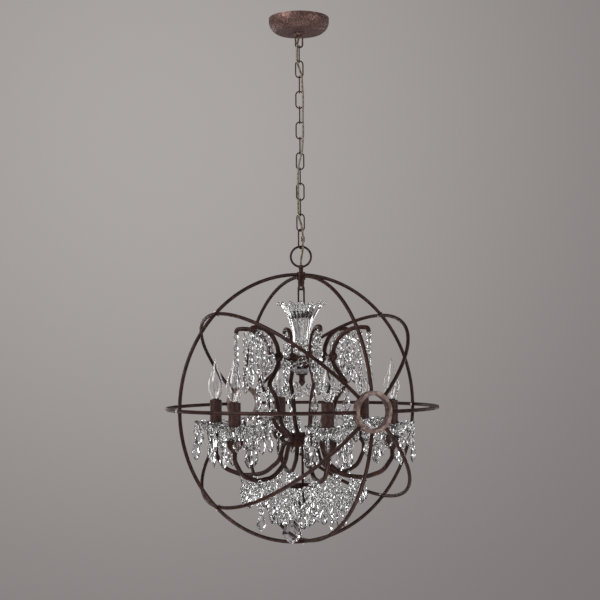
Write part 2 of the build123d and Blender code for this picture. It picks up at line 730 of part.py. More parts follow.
# the middle line of a bar and of an arm, as (radius, height) corners and the bend at each inner corner
BAR_ROUTE = [
    (157, SCROLL_TOP_Z - 11),
    (156, SCROLL_TOP_Z - 1),
    (140, SCROLL_TOP_Z),
    (118, SCROLL_TOP_Z - 2),
    (92, SCROLL_TOP_Z - 18),
    (WAIST_R + 4, SCROLL_TOP_Z - 42),
    (WAIST_R, WAIST_Z),
    (WAIST_R + 2, WAIST_Z - 21),
    (CUSP_R, CUSP_Z),
    (CUSP_R - 23, CUSP_Z - 33),
    (CUSP_R - 31, CUSP_Z - 60),
    (CUSP_R - 38, CUSP_Z - 96),
    (HUB_RING_R + WELD, HUB_RING_TOP - HUB_RING_H / 3),
]
BAR_BENDS = [6, 9, 40, 40, 40, 30, 45, 7, 50, 60, 50]
ARM_LEAVES = HUB_RING_TOP - HUB_RING_H * 0.75
ARM_ROUTE = [
    (HUB_RING_R + WELD, ARM_LEAVES),
    (44, ARM_LEAVES - 2),
    (56, -122),
    (92, -152),
    (142, -157),
    (186, -142),
    (CANDLE_R, -110),
    (CANDLE_R, CUP_BASE - WELD),
]
ARM_BENDS = [9, 30, 55, 70, 40, 24]


def tube_along(plane, points, radii, tube_r):
    """A round bar whose middle follows straight runs and arcs through the points of a plane."""
    with BuildLine(plane) as route:
        FilletPolyline(*points, radius=radii)
    with BuildSketch(Plane(origin=route.wire() @ 0, z_dir=route.wire() % 0)) as section:
        Circle(tube_r)
    sweep(section.sketch, path=route.wire())


def middle_line(points, radii):
    """Many (radius, height) places along a bar's middle."""
    with BuildLine(Plane.XZ) as route:
        FilletPolyline(*points, radius=radii)
    places = [route.wire() @ (i / 800) for i in range(801)]
    return [(p.X, p.Z) for p in places]


def underside(line, reach, tube_r):
    """The lowest height of a bar at this distance from the axis."""
    near = [(r, z) for r, z in line if abs(r - reach) <= tube_r]
    return min((z - sqrt(tube_r**2 - (r - reach) ** 2) for r, z in near), default=inf)


def clear_hook(line, reach, tube_r):
    """Where a bead's top can hang under a bar: its upper corners stay clear of a bar that slopes."""
    corner = BEAD_W / 2 * sin(pi / 8)
    shoulder = BEAD_W / 2 * cos(pi / 8)
    at_top = min(underside(line, reach + x, tube_r) for x in (-corner, 0, corner))
    beside = min(underside(line, reach + x, tube_r) for x in (-shoulder, shoulder))
    return min(at_top, beside + shoulder - corner) - BEAD_GAP


def middle_at(line, reach):
    """The height of a bar's middle at this distance from the axis."""
    return min(line, key=lambda place: abs(place[0] - reach))[1]


def make_scroll_bars():
    """Six bars: an outward scroll, a collar and spoke at the waist, a pointed belly and a foot on the hub ring."""
    spoke_in = BOWL_R + WELD
    spoke_z = BOWL_TOP - 6.5
    with BuildPart() as one_bar:
        tube_along(upright(0, ORB_Z), BAR_ROUTE, BAR_BENDS, BAR_R)
        with BuildSketch(upright(0, ORB_Z)) as collar:
            with BuildLine():
                Polyline(
                    (WAIST_R, WAIST_Z + COLLAR_OUT),
                    (WAIST_R + COLLAR_OUT * 0.5, WAIST_Z + COLLAR_OUT * 0.9),
                    (WAIST_R + COLLAR_OUT, WAIST_Z + COLLAR_OUT * 0.15),
                    (WAIST_R + COLLAR_OUT, WAIST_Z - COLLAR_OUT * 0.25),
                    (WAIST_R + COLLAR_OUT * 0.55, WAIST_Z - COLLAR_OUT),
                    (WAIST_R, WAIST_Z - COLLAR_OUT * 1.2),
                    close=True,
                )
            make_face()
        revolve(collar.sketch, axis=Axis((WAIST_R, 0, ORB_Z + WAIST_Z), (0, 0, 1)))
        with BuildSketch(Plane(origin=(spoke_in, 0, ORB_Z + spoke_z), z_dir=(1, 0, 0))) as spoke:
            Circle(SPOKE_R)
        extrude(spoke.sketch, amount=WAIST_R - spoke_in)
        with Locations((0, 0, ORB_Z + HUB_RING_TOP - HUB_RING_H / 2)):
            Cylinder(HUB_RING_R + WELD, 2 * HUB_RING_H, mode=Mode.SUBTRACT)
    with BuildPart() as scroll_bars:
        with Locations(*[Location((0, 0, 0), (0, 0, 1), angle) for angle in ARM_ANGLES]):
            add(one_bar.part)
    keep(scroll_bars, "scroll_bars")


def make_hub_ring():
    """The ring that the bars and arms are welded to, turned with two beads."""
    top = HUB_RING_TOP
    base = HUB_RING_TOP - HUB_RING_H
    with BuildPart() as arm_hub:
        with BuildSketch(Plane.XZ):
            with BuildLine():
                Polyline(
                    (HUB_RING_BORE, ORB_Z + top),
                    (HUB_RING_R - 3, ORB_Z + top),
                    (HUB_RING_R, ORB_Z + top - 3),
                    (HUB_RING_R, ORB_Z + base + 3),
                    (HUB_RING_R - 3, ORB_Z + base),
                    (BASKET_ROD_R + 0.2, ORB_Z + base),
                    (BASKET_ROD_R + 0.2, ORB_Z + base + 4),
                    (HUB_RING_BORE, ORB_Z + base + 4),
                    close=True,
                )
            make_face()
        revolve(axis=Axis.Z)
    keep(arm_hub, "arm_hub")


def make_arms():
    """Six candle arms, each a J of tube from the hub ring down, out and up into its cup."""
    with BuildPart() as one_arm:
        tube_along(upright(0, ORB_Z), ARM_ROUTE, ARM_BENDS, ARM_R)
        with Locations((0, 0, ORB_Z + ARM_LEAVES)):
            Cylinder(HUB_RING_R + WELD, HUB_RING_H, mode=Mode.SUBTRACT)
    with BuildPart() as candle_arms:
        with Locations(*[Location((0, 0, 0), (0, 0, 1), angle) for angle in ARM_ANGLES]):
            add(one_arm.part)
    keep(candle_arms, "candle_arms")


def candle_spots():
    """The six candle axes as locations."""
    return [
        Location((CANDLE_R * cos(radians(a)), CANDLE_R * sin(radians(a)), ORB_Z), (0, 0, 1), a)
        for a in ARM_ANGLES
    ]


def candle_group(points, name, cuts=()):
    """Six copies of a turned piece on the candle axes, from (radius, height) points; cuts are (count, r, size)."""
    with BuildPart() as one:
        with BuildSketch(Plane.XZ):
            with BuildLine():
                Polyline(*points, close=True)
            make_face()
        revolve(axis=Axis.Z)
        for count, radius, size, top in cuts:
            with BuildSketch(Plane.XY.offset(top)):
                with PolarLocations(radius, count):
                    Circle(size)
            extrude(amount=-PAN_H, mode=Mode.SUBTRACT)
    with BuildPart() as group:
        with Locations(*candle_spots()):
            add(one.part)
    keep(group, name)


def make_candles():
    """Cup, glass drip pan, sleeve, socket and bulb on each arm, stacked from the cup up."""
    pan_base = CUP_TOP + WELD
    pan_rim = pan_base + PAN_H
    candle_group(
        [
            (0, CUP_BASE),
            (ARM_R + 2.0, CUP_BASE),
            (ARM_R + 3.0, CUP_BASE + CUP_H * 0.15),
            (CUP_TOP_R * 0.78, CUP_BASE + CUP_H * 0.42),
            (CUP_TOP_R * 0.96, CUP_BASE + CUP_H * 0.7),
            (CUP_TOP_R, CUP_TOP - 3),
            (CUP_TOP_R, CUP_TOP),
            (CANDLE_TUBE_R - SLIP, CUP_TOP),
            (CANDLE_TUBE_R - SLIP, SLEEVE_BASE + 6),
            (0, SLEEVE_BASE + 6),
        ],
        "drip_cups",
    )
    candle_group(
        [
            (CANDLE_TUBE_R + SLIP, pan_base),
            (SLEEVE_R, pan_base),
            (PAN_R * PAN_WAIST, pan_base + PAN_H * PAN_WAIST_H),
            (PAN_R, pan_rim - PAN_WALL),
            (PAN_R, pan_rim),
            (PAN_R * PAN_WAIST - 1.5, pan_base + PAN_H * PAN_WAIST_H + PAN_WALL),
            (SLEEVE_R - 2, pan_base + PAN_WALL),
            (CANDLE_TUBE_R + SLIP, pan_base + PAN_WALL),
        ],
        "glass_pans",
        cuts=[(PAN_SCALLOPS, PAN_R + 3.5, 6.0, pan_rim + 1)],
    )
    candle_group(
        [
            (SLEEVE_R - SLEEVE_WALL, SLEEVE_TOP),
            (SLEEVE_R, SLEEVE_TOP),
            (SLEEVE_R, SLEEVE_BASE),
            (CANDLE_TUBE_R + SLIP, SLEEVE_BASE),
            (CANDLE_TUBE_R + SLIP, SLEEVE_BASE + 2),
            (SLEEVE_R - SLEEVE_WALL, SLEEVE_BASE + 2),
        ],
        "candle_sleeves",
    )
    socket_base = SLEEVE_BASE + 6 + SEAT
    candle_group(
        [
            (0, socket_base),
            (SOCKET_R, socket_base),
            (SOCKET_R, socket_base + SOCKET_H),
            (BULB_BASE_R + SEAT, socket_base + SOCKET_H),
            (BULB_BASE_R + SEAT, SLEEVE_TOP - BULB_BASE_H - SEAT),
            (0, SLEEVE_TOP - BULB_BASE_H - SEAT),
        ],
        "lamp_sockets",
    )
    candle_group(
        [
            (0, SLEEVE_TOP - BULB_BASE_H),
            (BULB_BASE_R * 0.5, SLEEVE_TOP - BULB_BASE_H),
            (BULB_BASE_R, SLEEVE_TOP - BULB_BASE_H + 4),
            (BULB_BASE_R, SLEEVE_TOP),
            (BULB_BASE_R + 1.5, SLEEVE_TOP + 2),
            (0, SLEEVE_TOP + 2),
        ],
        "bulb_bases",
    )
    glass_base = SLEEVE_TOP + 2 + WELD
    belly_z = glass_base + 0.36 * (BULB_TIP - glass_base)
    neck_r = BULB_BASE_R + 0.5
    waist = (BULB_R * 0.52, belly_z + 34)
    with BuildPart() as one_bulb:
        with BuildSketch(Plane.XZ):
            with BuildLine():
                outside = Spline(
                    (neck_r, glass_base), (BULB_R, belly_z), waist, (1.4, BULB_TIP), tangents=[(0.7, 1), (0.0, 1)]
                )
                inside = Spline(
                    (neck_r - BULB_GLASS, glass_base),
                    (BULB_R - BULB_GLASS, belly_z),
                    (waist[0] - BULB_GLASS, waist[1]),
                    (0.5, BULB_TIP - 5),
                    tangents=[(0.7, 1), (0.0, 1)],
                )
                Line(outside @ 0, inside @ 0)
                Polyline(outside @ 1, (0, BULB_TIP), (0, BULB_TIP - 5), inside @ 1)
            make_face()
        revolve(axis=Axis.Z)
    with BuildPart() as bulb_glasses:
        with Locations(*candle_spots()):
            add(one_bulb.part)
    keep(bulb_glasses, "bulb_glasses")


# ---- lower basket ----


def make_basket():
    """The rod under the hub ring, the ring that the basket's pendants hang on, and the bottom finial."""
    rod_top = HUB_RING_TOP - HUB_RING_H + 6
    rod_base = BOTTOM_FINIAL_TOP - 6
    head_r = BASKET_ROD_R + 4
    with BuildPart() as basket_rod:
        with BuildSketch(at_orb(rod_base)):
            Circle(BASKET_ROD_R)
        extrude(amount=rod_top - rod_base)
        with BuildSketch(at_orb(HUB_RING_TOP - HUB_RING_H + 4 + 0.1)):
            RegularPolygon(head_r, 6)
        extrude(amount=4)
    keep(basket_rod, "basket_rod")

    disc_top = BASKET_RING_Z + BASKET_RING_H / 2
    disc_base = BASKET_RING_Z - BASKET_RING_H / 2
    disc = round_piece(
        [
            (0, disc_top),
            (BASKET_RING_R * 0.45, disc_top),
            (BASKET_RING_R - 2, disc_top - 5),
            (BASKET_RING_R, disc_top - 7),
            (BASKET_RING_R, disc_base + 2),
            (BASKET_RING_R * 0.5, disc_base),
            (0, disc_base),
        ],
        bore=BASKET_ROD_R + SLIP,
    )
    keep(disc, "basket_disc")

    top = BOTTOM_FINIAL_TOP
    tall = BOTTOM_FINIAL_H
    wide = BOTTOM_FINIAL_R
    finial = round_piece(
        [
            (0, top),
            (wide * 0.4, top),
            (wide * 0.5, top - tall * 0.12),
            (wide, top - tall * 0.3),
            (wide, top - tall * 0.38),
            (wide * 0.55, top - tall * 0.55),
            (wide * 0.6, top - tall * 0.68),
            (wide * 0.25, top - tall * 0.85),
            (wide * 0.2, top - tall),
            (0, top - tall),
        ],
        bore=0,
    )
    with BuildPart() as bottom_finial:
        add(finial.part)
        with BuildSketch(at_orb(top)):
            Circle(BASKET_ROD_R + SLIP)
        extrude(amount=-6 - SEAT, mode=Mode.SUBTRACT)
    keep(bottom_finial, "bottom_finial")


# ---- glass ----


def bead_points():
    """An octagon bead that hangs from the origin: eight corners round the edge and a low point on each face."""
    middle = -BEAD_W / 2
    rim = [
        (BEAD_W / 2 * cos(pi / 4 * i + pi / 8), 0, middle + BEAD_W / 2 * sin(pi / 4 * i + pi / 8))
        for i in range(8)
    ]
    return rim + [(0, side * BEAD_T / 2, middle) for side in (-1, 1)]


def pendant_points(length, width, thick):
    """A kite pendant that hangs from the origin: narrow at the top, widest two thirds down, a point below."""
    outline = [(0.12, 0.0), (0.34, -0.22), (0.5, -0.62), (0.26, -0.86)]
    rim = [(side * x * width, 0, z * length) for x, z in outline for side in (-1, 1)]
    faces_at = [(0, side * thick / 2, z * length) for z in (-0.38, -0.66) for side in (-1, 1)]
    return rim + faces_at + [(0, 0, -length)]


def around(vector, angle):
    """The vector turned about the chandelier's axis."""
    return vector.rotate(Axis.Z, angle)


def string_of_glass(beads, length, width=PENDANT_W, thick=PENDANT_T, kite_turn=0.0):
    """A string that hangs from the origin: octagon beads and, under them, a kite turned from their plane."""
    pitch = BEAD_W * cos(pi / 8) + BEAD_GAP
    drop = (BEAD_W - BEAD_W * cos(pi / 8)) / 2
    shapes = []
    for number in range(beads):
        shift = Vector(0, 0, drop - number * pitch)
        shapes.append([Vector(*p) + shift for p in bead_points()])
    shift = Vector(0, 0, -beads * pitch)
    shapes.append([around(Vector(*p), kite_turn) + shift for p in pendant_points(length, width, thick)])
    return shapes


def glass_group(strings, name):
    """Writes many strings as one node: each is (shapes, radius, height above the cage's centre, turn, twist)."""
    pieces = []
    for shapes, radius, z, turn, twist in strings:
        place = Location((radius * cos(radians(turn)), radius * sin(radians(turn)), ORB_Z + z), (0, 0, 1), turn + twist)
        for points in shapes:
            with BuildPart(place) as glass:
                ConvexPolyhedron(points)
            pieces.append(glass.part.solid())
    group = Compound(pieces)
    group.label = name
    export_step(group, f"parts/{name}.step")
    return len(pieces)


def pan_underside(reach):
    """Height of a drip pan's underside at this distance from the candle's axis."""
    waist_r = PAN_R * PAN_WAIST
    waist_z = CUP_TOP + WELD + PAN_H * PAN_WAIST_H
    rim_z = CUP_TOP + WELD + PAN_H - PAN_WALL
    return waist_z + (rim_z - waist_z) * (reach - waist_r) / (PAN_R - waist_r)


def garland(start, end, kites=(), kite_turn=0, spare=0):
    """Octagon beads on a sagging arc between two points, with kites (bead number, length, width) hung under them.

    The arc is the shallowest one that a whole number of beads fills, or a deeper one with beads to spare. The
    kites are turned from its plane.
    """
    pitch = BEAD_W * cos(pi / 8) + BEAD_GAP
    chord = end - start
    count = int(chord.length / pitch) + 1 + spare
    low, high = 0.01, 0.8 * pi
    while high - low > 1e-6:
        half = (low + high) / 2
        if sin(half) / half > chord.length / (count * pitch):
            low = half
        else:
            high = half
    radius = chord.length / 2 / sin(half)
    side = Vector(chord.X, chord.Y, 0).cross(Vector(0, 0, 1)).normalized()
    run = chord.normalized()
    rise = side.cross(run)
    centre = (start + end) * 0.5 + rise * (radius * cos(half))
    shapes = []
    hooks = {}
    for number in range(count):
        swing = half * (2 * (number + 0.5) / count - 1)
        tangent = run * cos(swing) + rise * sin(swing)
        normal = rise * cos(swing) - run * sin(swing)
        middle = centre - normal * radius
        bead = [middle + tangent * x + side * y + normal * (z + BEAD_W / 2) for x, y, z in bead_points()]
        shapes.append(bead)
        hooks[number] = Vector(middle.X, middle.Y, min(p.Z for p in bead) - BEAD_GAP)
    facing = degrees(atan2(run.Y, run.X)) + kite_turn
    for number, length, width in kites:
        kite = pendant_points(length, width, PENDANT_T)
        shapes.append([hooks[number] + around(Vector(*p), facing) for p in kite])
    return shapes


def make_glass():
    """All hanging glass: on the scrolls and bellies, round the drip pans, from bar to bar and in the basket."""
    count = 0
    step = 360 / ARM_COUNT
    bar = middle_line(BAR_ROUTE, BAR_BENDS)
    arm = middle_line(ARM_ROUTE, ARM_BENDS)
    upper = [(r, z) for r, z in bar if z > WAIST_Z]
    lower = [(r, z) for r, z in bar if z < WAIST_Z]
    hooks = [(r, clear_hook(upper, r, BAR_R), beads) for r, beads in SCROLL_STRINGS]
    hooks.append((BAR_ROUTE[0][0], BAR_ROUTE[0][1] - BEAD_GAP, SCROLL_END_BEADS))
    hooks += [(r, clear_hook(lower, r, BAR_R), beads) for r, beads in CUSP_STRINGS]
    scroll = []
    for angle in ARM_ANGLES:
        for radius, z, beads in hooks:
            string = string_of_glass(beads, PENDANT_L, kite_turn=KITE_TURN)
            scroll.append((string, radius, z, angle, 0))
    count += glass_group(scroll, "scroll_strings")

    pans = []
    reach = PAN_R - BEAD_W / 2
    for spot in candle_spots():
        for i in range(PAN_PENDANTS):
            beads, length, width = PAN_STRINGS[i % len(PAN_STRINGS)]
            facing = spot.orientation.Z + 360 / PAN_PENDANTS * (i + 0.5)
            x = spot.position.X + reach * cos(radians(facing))
            y = spot.position.Y + reach * sin(radians(facing))
            turn = degrees(atan2(y, x))
            pendant = string_of_glass(beads, length, width)
            pans.append((pendant, hypot(x, y), pan_underside(reach) - BEAD_GAP, turn, facing + 90 - turn))
    inner = garland(
        Vector(CUSP_R - 31 + BAR_R + 1.0, 0, CUSP_Z - 60),
        Vector(CANDLE_R - PAN_R - 1.0, 0, CUP_TOP + WELD + PAN_H - PAN_WALL),
        INNER_KITES,
        kite_turn=90,
    )
    pans += [(inner, 0, 0, angle, 0) for angle in ARM_ANGLES]
    count += glass_group(pans, "pan_pendants")

    swags = []
    beside_bar = (BAR_R + BEAD_T / 4 + 1.3) / cos(radians(step / 2))
    for radius, z, shift, spare in (
        (WAIST_R, WAIST_Z, COLLAR_OUT + 3.9, WAIST_SPARE),
        (CUSP_R - 1.5, CUSP_Z, beside_bar, CUSP_SPARE),
    ):
        hook = Vector(radius, 0, z)
        leave = (around(hook, step) - hook).normalized() * shift
        swags.append(garland(hook + leave, around(hook, step) - leave, spare=spare))
    count += glass_group([(swag, 0, 0, angle, 0) for swag in swags for angle in ARM_ANGLES], "waist_strings")

    basket = []
    finial = Vector(BOTTOM_FINIAL_R + BEAD_GAP, 0, BOTTOM_FINIAL_TOP - BOTTOM_FINIAL_H * 0.34)
    under_arm = Vector(ARM_LOW_R, 0, underside(arm, ARM_LOW_R, ARM_R) - 2.6)
    ray = garland(under_arm, finial, RAY_KITES, kite_turn=90)
    hook = Vector(SWAG_R, 0, middle_at(arm, SWAG_R) - 2.1)
    along = (around(hook, step) - hook).normalized()
    beside = along * (ARM_R + 1.4)
    swag = garland(hook + beside, around(hook, step) - beside, SWAG_KITES)
    deep_hook = Vector(DEEP_R, 0, middle_at(arm, DEEP_R) - 2.1)
    beside = along * (ARM_R + 2.0)
    deep_start = deep_hook + beside
    deep_end = around(Vector(DEEP_LOW_R, 0, deep_hook.Z), step / 2) - along * (BEAD_W / 2 + BEAD_GAP)
    deep_length = DEEP_FILL * DEEP_BEADS * (BEAD_W * cos(pi / 8) + BEAD_GAP)
    deep_fall = Vector(0, 0, -sqrt(deep_length**2 - (deep_end - deep_start).length ** 2))
    falling = garland(deep_start, deep_end + deep_fall)
    mirrored = deep_end + along * (BEAD_W + 2 * BEAD_GAP) + deep_fall
    climbing = garland(mirrored, around(deep_hook, step) - beside)
    low_z = deep_hook.Z + deep_fall.Z
    disc_base = BASKET_RING_Z - BASKET_RING_H / 2
    kite = string_of_glass(0, DISC_KITE_L, width=DISC_KITE_W)
    for number, angle in enumerate(ARM_ANGLES):
        basket.append((ray, 0, 0, angle, 0))
        basket.append((swag, 0, 0, angle, 0))
        basket.append((falling, 0, 0, angle, 0))
        basket.append((climbing, 0, 0, angle, 0))
        basket.append((kite, BASKET_RING_R - 8, disc_base + 0.5, angle + step / 2, 90))
        length, width = (FRONT_KITE_L, FRONT_KITE_W) if number == ARM_COUNT - 1 else (LOW_KITE_L, LOW_KITE_W)
        low_kite = string_of_glass(1, length, width)
        basket.append((low_kite, DEEP_LOW_R, low_z + BEAD_W / 2, angle + step / 2, 90))
    count += glass_group(basket, "basket_garlands")

    drop_top = BOTTOM_FINIAL_TOP - BOTTOM_FINIAL_H - SEAT
    drop = [(string_of_glass(0, BOTTOM_DROP_L, BOTTOM_DROP_W, BOTTOM_DROP_T), 0, drop_top, CHAIN_TURN, 0)]
    count += glass_group(drop, "bottom_drop")
    print("glass pieces", count)


# ---- cord ----


def make_cord():
    """The supply cord, woven down the chain from the canopy loop's hole to the boss on the top ring."""
    out = Vector(cos(radians(CHAIN_TURN)), sin(radians(CHAIN_TURN)), 0)
    near = Vector(out.Y, -out.X, 0)
    top = CANOPY_BASE - COLLAR_H / 2 - SEAT
    bottom = TOP_RING_BASE + TOP_RING_WIRE / 2
    # across to the right, towards the viewer, height
    route = [
        (0, 0, top),
        (0, 0, top - 9),
        (-4.5, 6, top - 24),
        (-5.5, 7, -84),
        (-5, 7, -104),
        (0, 7, -118),
        (5.5, 7, -134),
        (6.5, 7.5, -158),
        (8.5, 7, -190),
        (7, 7.5, -225),
        (7.5, 7, -262),
        (6, 7, -298),
        (4, 7.5, -316),
        (-3.5, 7.5, -340),
        (-5.5, 7, -368),
        (-4.5, 8, -403),
        (-5, 7, -439),
        (-4.3, 8, -463),
        (4, 8, -486),
        (5.5, 7, -516),
        (4.5, 6, -538),
        (0.5, 1, -558),
        (0, 0, bottom + 9),
        (0, 0, bottom),
    ]
    points = [out * across + near * forward + Vector(0, 0, z) for across, forward, z in route]
    radii = []
    for before, here, after in zip(points, points[1:], points[2:]):
        shorter = min((here - before).length, (after - here).length)
        half_turn = radians((here - before).get_angle(after - here)) / 2
        radii.append(0.45 * shorter / tan(half_turn))
    with BuildPart() as supply_cord:
        with BuildLine() as line:
            FilletPolyline(*points, radius=radii)
        with BuildSketch(Plane(origin=line.wire() @ 0, z_dir=line.wire() % 0)):
            Circle(CORD_D / 2)
        sweep(path=line.wire())
    print("cord radii", [round(r) for r in radii])
    print("cord volume", round(supply_cord.part.volume), round(line.wire().length * pi * CORD_D**2 / 4))
    print("cord length", round(line.wire().length))
    keep(supply_cord, "supply_cord")


make_canopy()
make_bracket()
make_nipple()
make_terminal_block()
make_loop()
make_chain()
make_quick_link()
make_top_ring()
make_cage()
make_stem()
make_rod()
make_column()
make_scroll_bars()
make_hub_ring()
make_arms()
make_candles()
make_basket()
make_glass()
make_cord()
print("cage centre", round(ORB_Z, 2))
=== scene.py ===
import math
import random

import bmesh
import bpy
from mathutils import Matrix, Vector


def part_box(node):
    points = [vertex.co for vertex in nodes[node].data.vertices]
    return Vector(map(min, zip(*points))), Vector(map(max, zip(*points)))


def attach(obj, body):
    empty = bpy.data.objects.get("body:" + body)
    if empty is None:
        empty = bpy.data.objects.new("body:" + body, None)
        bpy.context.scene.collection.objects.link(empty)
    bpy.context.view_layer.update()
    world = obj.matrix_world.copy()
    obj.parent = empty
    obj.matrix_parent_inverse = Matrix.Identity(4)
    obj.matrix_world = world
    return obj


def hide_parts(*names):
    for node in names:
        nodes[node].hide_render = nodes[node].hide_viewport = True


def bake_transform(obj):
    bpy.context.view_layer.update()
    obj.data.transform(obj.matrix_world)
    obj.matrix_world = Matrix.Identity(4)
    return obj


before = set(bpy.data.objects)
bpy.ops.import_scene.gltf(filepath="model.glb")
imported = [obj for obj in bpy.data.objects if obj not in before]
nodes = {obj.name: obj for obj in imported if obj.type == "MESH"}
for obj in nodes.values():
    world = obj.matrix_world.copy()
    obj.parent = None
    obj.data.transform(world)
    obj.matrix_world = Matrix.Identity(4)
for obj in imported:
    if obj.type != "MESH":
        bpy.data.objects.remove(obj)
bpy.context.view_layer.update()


# ---------------------------------------------------------------- places, in metres

def up(height):
    return Vector((0, 0, height))


CHAIN_TURN = math.radians(-29.1)  # from +X to the plane of the canopy loop, and so to the picture's right
RIGHT = Vector((math.cos(CHAIN_TURN), math.sin(CHAIN_TURN), 0))
NEAR = Vector((RIGHT.y, -RIGHT.x, 0))  # towards the viewer

ORB_Z = -0.8981  # the cage's centre
CENTRE = up(ORB_Z)
ARM_ANGLES = [math.radians(-104 + 60 * i) for i in range(6)]
CANDLE_R = 0.208
SLEEVE_R = 0.0138
PAN_R = 0.053
BALL_R = 0.021
BALL_H = 0.024
ROD_HOLE_R = 0.0036

# heights above the cage's centre
BALL_TOP = 0.142
BULB_TIP = 0.111
SLEEVE_TOP = 0.017
CUP_TOP = -0.065

AT_CANDLES = [
    Matrix.Translation((CANDLE_R * math.cos(a), CANDLE_R * math.sin(a), ORB_Z)) @ Matrix.Rotation(a, 4, "Z")
    for a in ARM_ANGLES
]


# ---------------------------------------------------------------- ways of working

def add_object(name, data):
    made = bpy.data.objects.new(name, data)
    bpy.context.collection.objects.link(made)
    return made


def deselect():
    bpy.ops.object.select_all(action="DESELECT")


def select_only(piece):
    deselect()
    piece.select_set(True)
    bpy.context.view_layer.objects.active = piece


def settle(piece):
    """Brings a finished piece's origin back to the row's, unturned and unscaled."""
    select_only(piece)
    bpy.ops.object.transform_apply(location=True, rotation=True, scale=True)


def finish_modifiers(piece):
    select_only(piece)
    for modifier in list(piece.modifiers):
        bpy.ops.object.modifier_apply(modifier=modifier.name)


def pick_vertices(piece, wanted):
    """Selects, in edit mode, the vertices whose place the test wants."""
    mesh = bmesh.from_edit_mesh(piece.data)
    for vertex in mesh.verts:
        vertex.select = wanted(vertex.co)
    mesh.select_flush_mode()
    bmesh.update_edit_mesh(piece.data)


def turned(name, profile, sides, close_top=False, close_base=False):
    """A turned piece: a circle that is extruded along its profile of (radius, height) ring by ring."""
    deselect()
    first_r, first_z = profile[0]
    bpy.ops.mesh.primitive_circle_add(vertices=sides, radius=first_r, location=up(first_z))
    piece = bpy.context.object
    piece.name = name
    settle(piece)
    bpy.ops.object.mode_set(mode="EDIT")
    bpy.ops.mesh.select_all(action="SELECT")
    if close_base:
        bpy.ops.mesh.edge_face_add()
    for (r0, z0), (r1, z1) in zip(profile, profile[1:]):
        bpy.ops.mesh.extrude_edges_move(TRANSFORM_OT_translate={"value": (0, 0, z1 - z0)})
        bpy.ops.transform.resize(value=(r1 / r0, r1 / r0, 1), center_override=up(z1))
    if close_top:
        bpy.ops.mesh.edge_face_add()
    bpy.ops.mesh.select_all(action="SELECT")
    bpy.ops.mesh.normals_make_consistent(inside=False)
    bpy.ops.object.mode_set(mode="OBJECT")
    return piece


def shape_ring(piece, height, lobes, spread, factor, drop=0.0):
    """Scales and lowers the points of one level of a lobed piece that lie this far from their lobe's middle.

    The distance is an angle, as a share of the lobe: 0 at its middle and 0.5 at the next lobe's edge.
    """
    low, high = spread

    def beside(place):
        turn = math.atan2(place.y, place.x) * lobes / (2 * math.pi)
        return abs(place.z - height) < 1e-4 and low < abs(turn - round(turn)) <= high

    pick_vertices(piece, beside)
    bpy.ops.transform.resize(value=(factor, factor, 1), center_override=(0, 0, height))
    if drop:
        bpy.ops.transform.translate(value=(0, 0, -drop))


def small_ring(segments, sides, ring_r, wire_r):
    """A ring of round wire about the origin, upright in the plane of X and Z."""
    deselect()
    bpy.ops.mesh.primitive_torus_add(major_segments=segments, minor_segments=sides, major_radius=ring_r,
                                     minor_radius=wire_r, rotation=(math.pi / 2, 0, 0))
    ring = bpy.context.object
    settle(ring)
    return ring


def round_wire(name, radius, roundness):
    """A curve that is a round wire along the lines that are added to it."""
    curve = bpy.data.curves.new(name, "CURVE")
    curve.dimensions = "3D"
    curve.bevel_depth = radius
    curve.bevel_resolution = roundness
    return curve


def add_line(curve, kind, places):
    line = curve.splines.new(kind)
    line.points.add(len(places) - 1)
    for point, place in zip(line.points, places):
        point.co = (*place, 1)
    if kind == "NURBS":
        line.order_u = 3
        line.use_endpoint_u = True


def mesh_of_curve(curve):
    line = add_object(curve.name, curve)
    mesh = bpy.data.meshes.new_from_object(line.evaluated_get(bpy.context.evaluated_depsgraph_get()))
    bpy.data.objects.remove(line, do_unlink=True)
    return mesh


def copies(name, model, moves):
    """One piece made of copies of a model, each moved by a matrix. The model is used up."""
    deselect()
    parts = []
    for move in moves:
        mesh = model.data.copy()
        mesh.transform(move)
        if move.determinant() < 0:
            mesh.flip_normals()
        part = add_object(name, mesh)
        part.select_set(True)
        parts.append(part)
    bpy.context.view_layer.objects.active = parts[0]
    if len(parts) > 1:
        bpy.ops.object.join()
    bpy.data.objects.remove(model, do_unlink=True)
    parts[0].name = name
    return parts[0]


def fit(piece, material, slot, *replaced):
    """Gives a piece of the chandelier its finish and says which CAD nodes it stands for. The slot is not
    used.
    """
    piece.data.materials.clear()
    piece.data.materials.append(material)
    if replaced:
        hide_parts(*replaced)
    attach(piece, "chandelier")


def set_inputs(tree, node, ordered=(), **named):
    """Sets a node's inputs, in order or by name, each to a value or by a link from another node's output."""
    given = list(enumerate(ordered)) + [(name.replace("_", " "), value) for name, value in named.items()]
    for key, value in given:
        if isinstance(value, bpy.types.NodeSocket):
            tree.links.new(value, node.inputs[key])
        else:
            node.inputs[key].default_value = value


def add_node(tree, kind, settings=None, ordered=(), **named):
    node = tree.nodes.new("ShaderNode" + kind)
    for setting, value in (settings or {}).items():
        setattr(node, setting, value)
    set_inputs(tree, node, ordered, **named)
    return node


# ---------------------------------------------------------------- camera, light and background

# from here the render lies over the photograph
CAMERA_PLACE = (-1.3896, -2.4966, -0.7786)
CAMERA_LENS = 74.8
CAMERA_TURN = CHAIN_TURN + 0.001
CAMERA_TILT = math.radians(90 + 2.53)
CAMERA_ROLL = math.radians(-0.49)

FLOOR_R = 4.6
FLOOR_Z = -3.6

WALL_PALE = (0.405, 0.382, 0.370, 1)
WALL_DARK = (0.200, 0.183, 0.180, 1)
WARM_WHITE = (1.0, 0.985, 0.97)

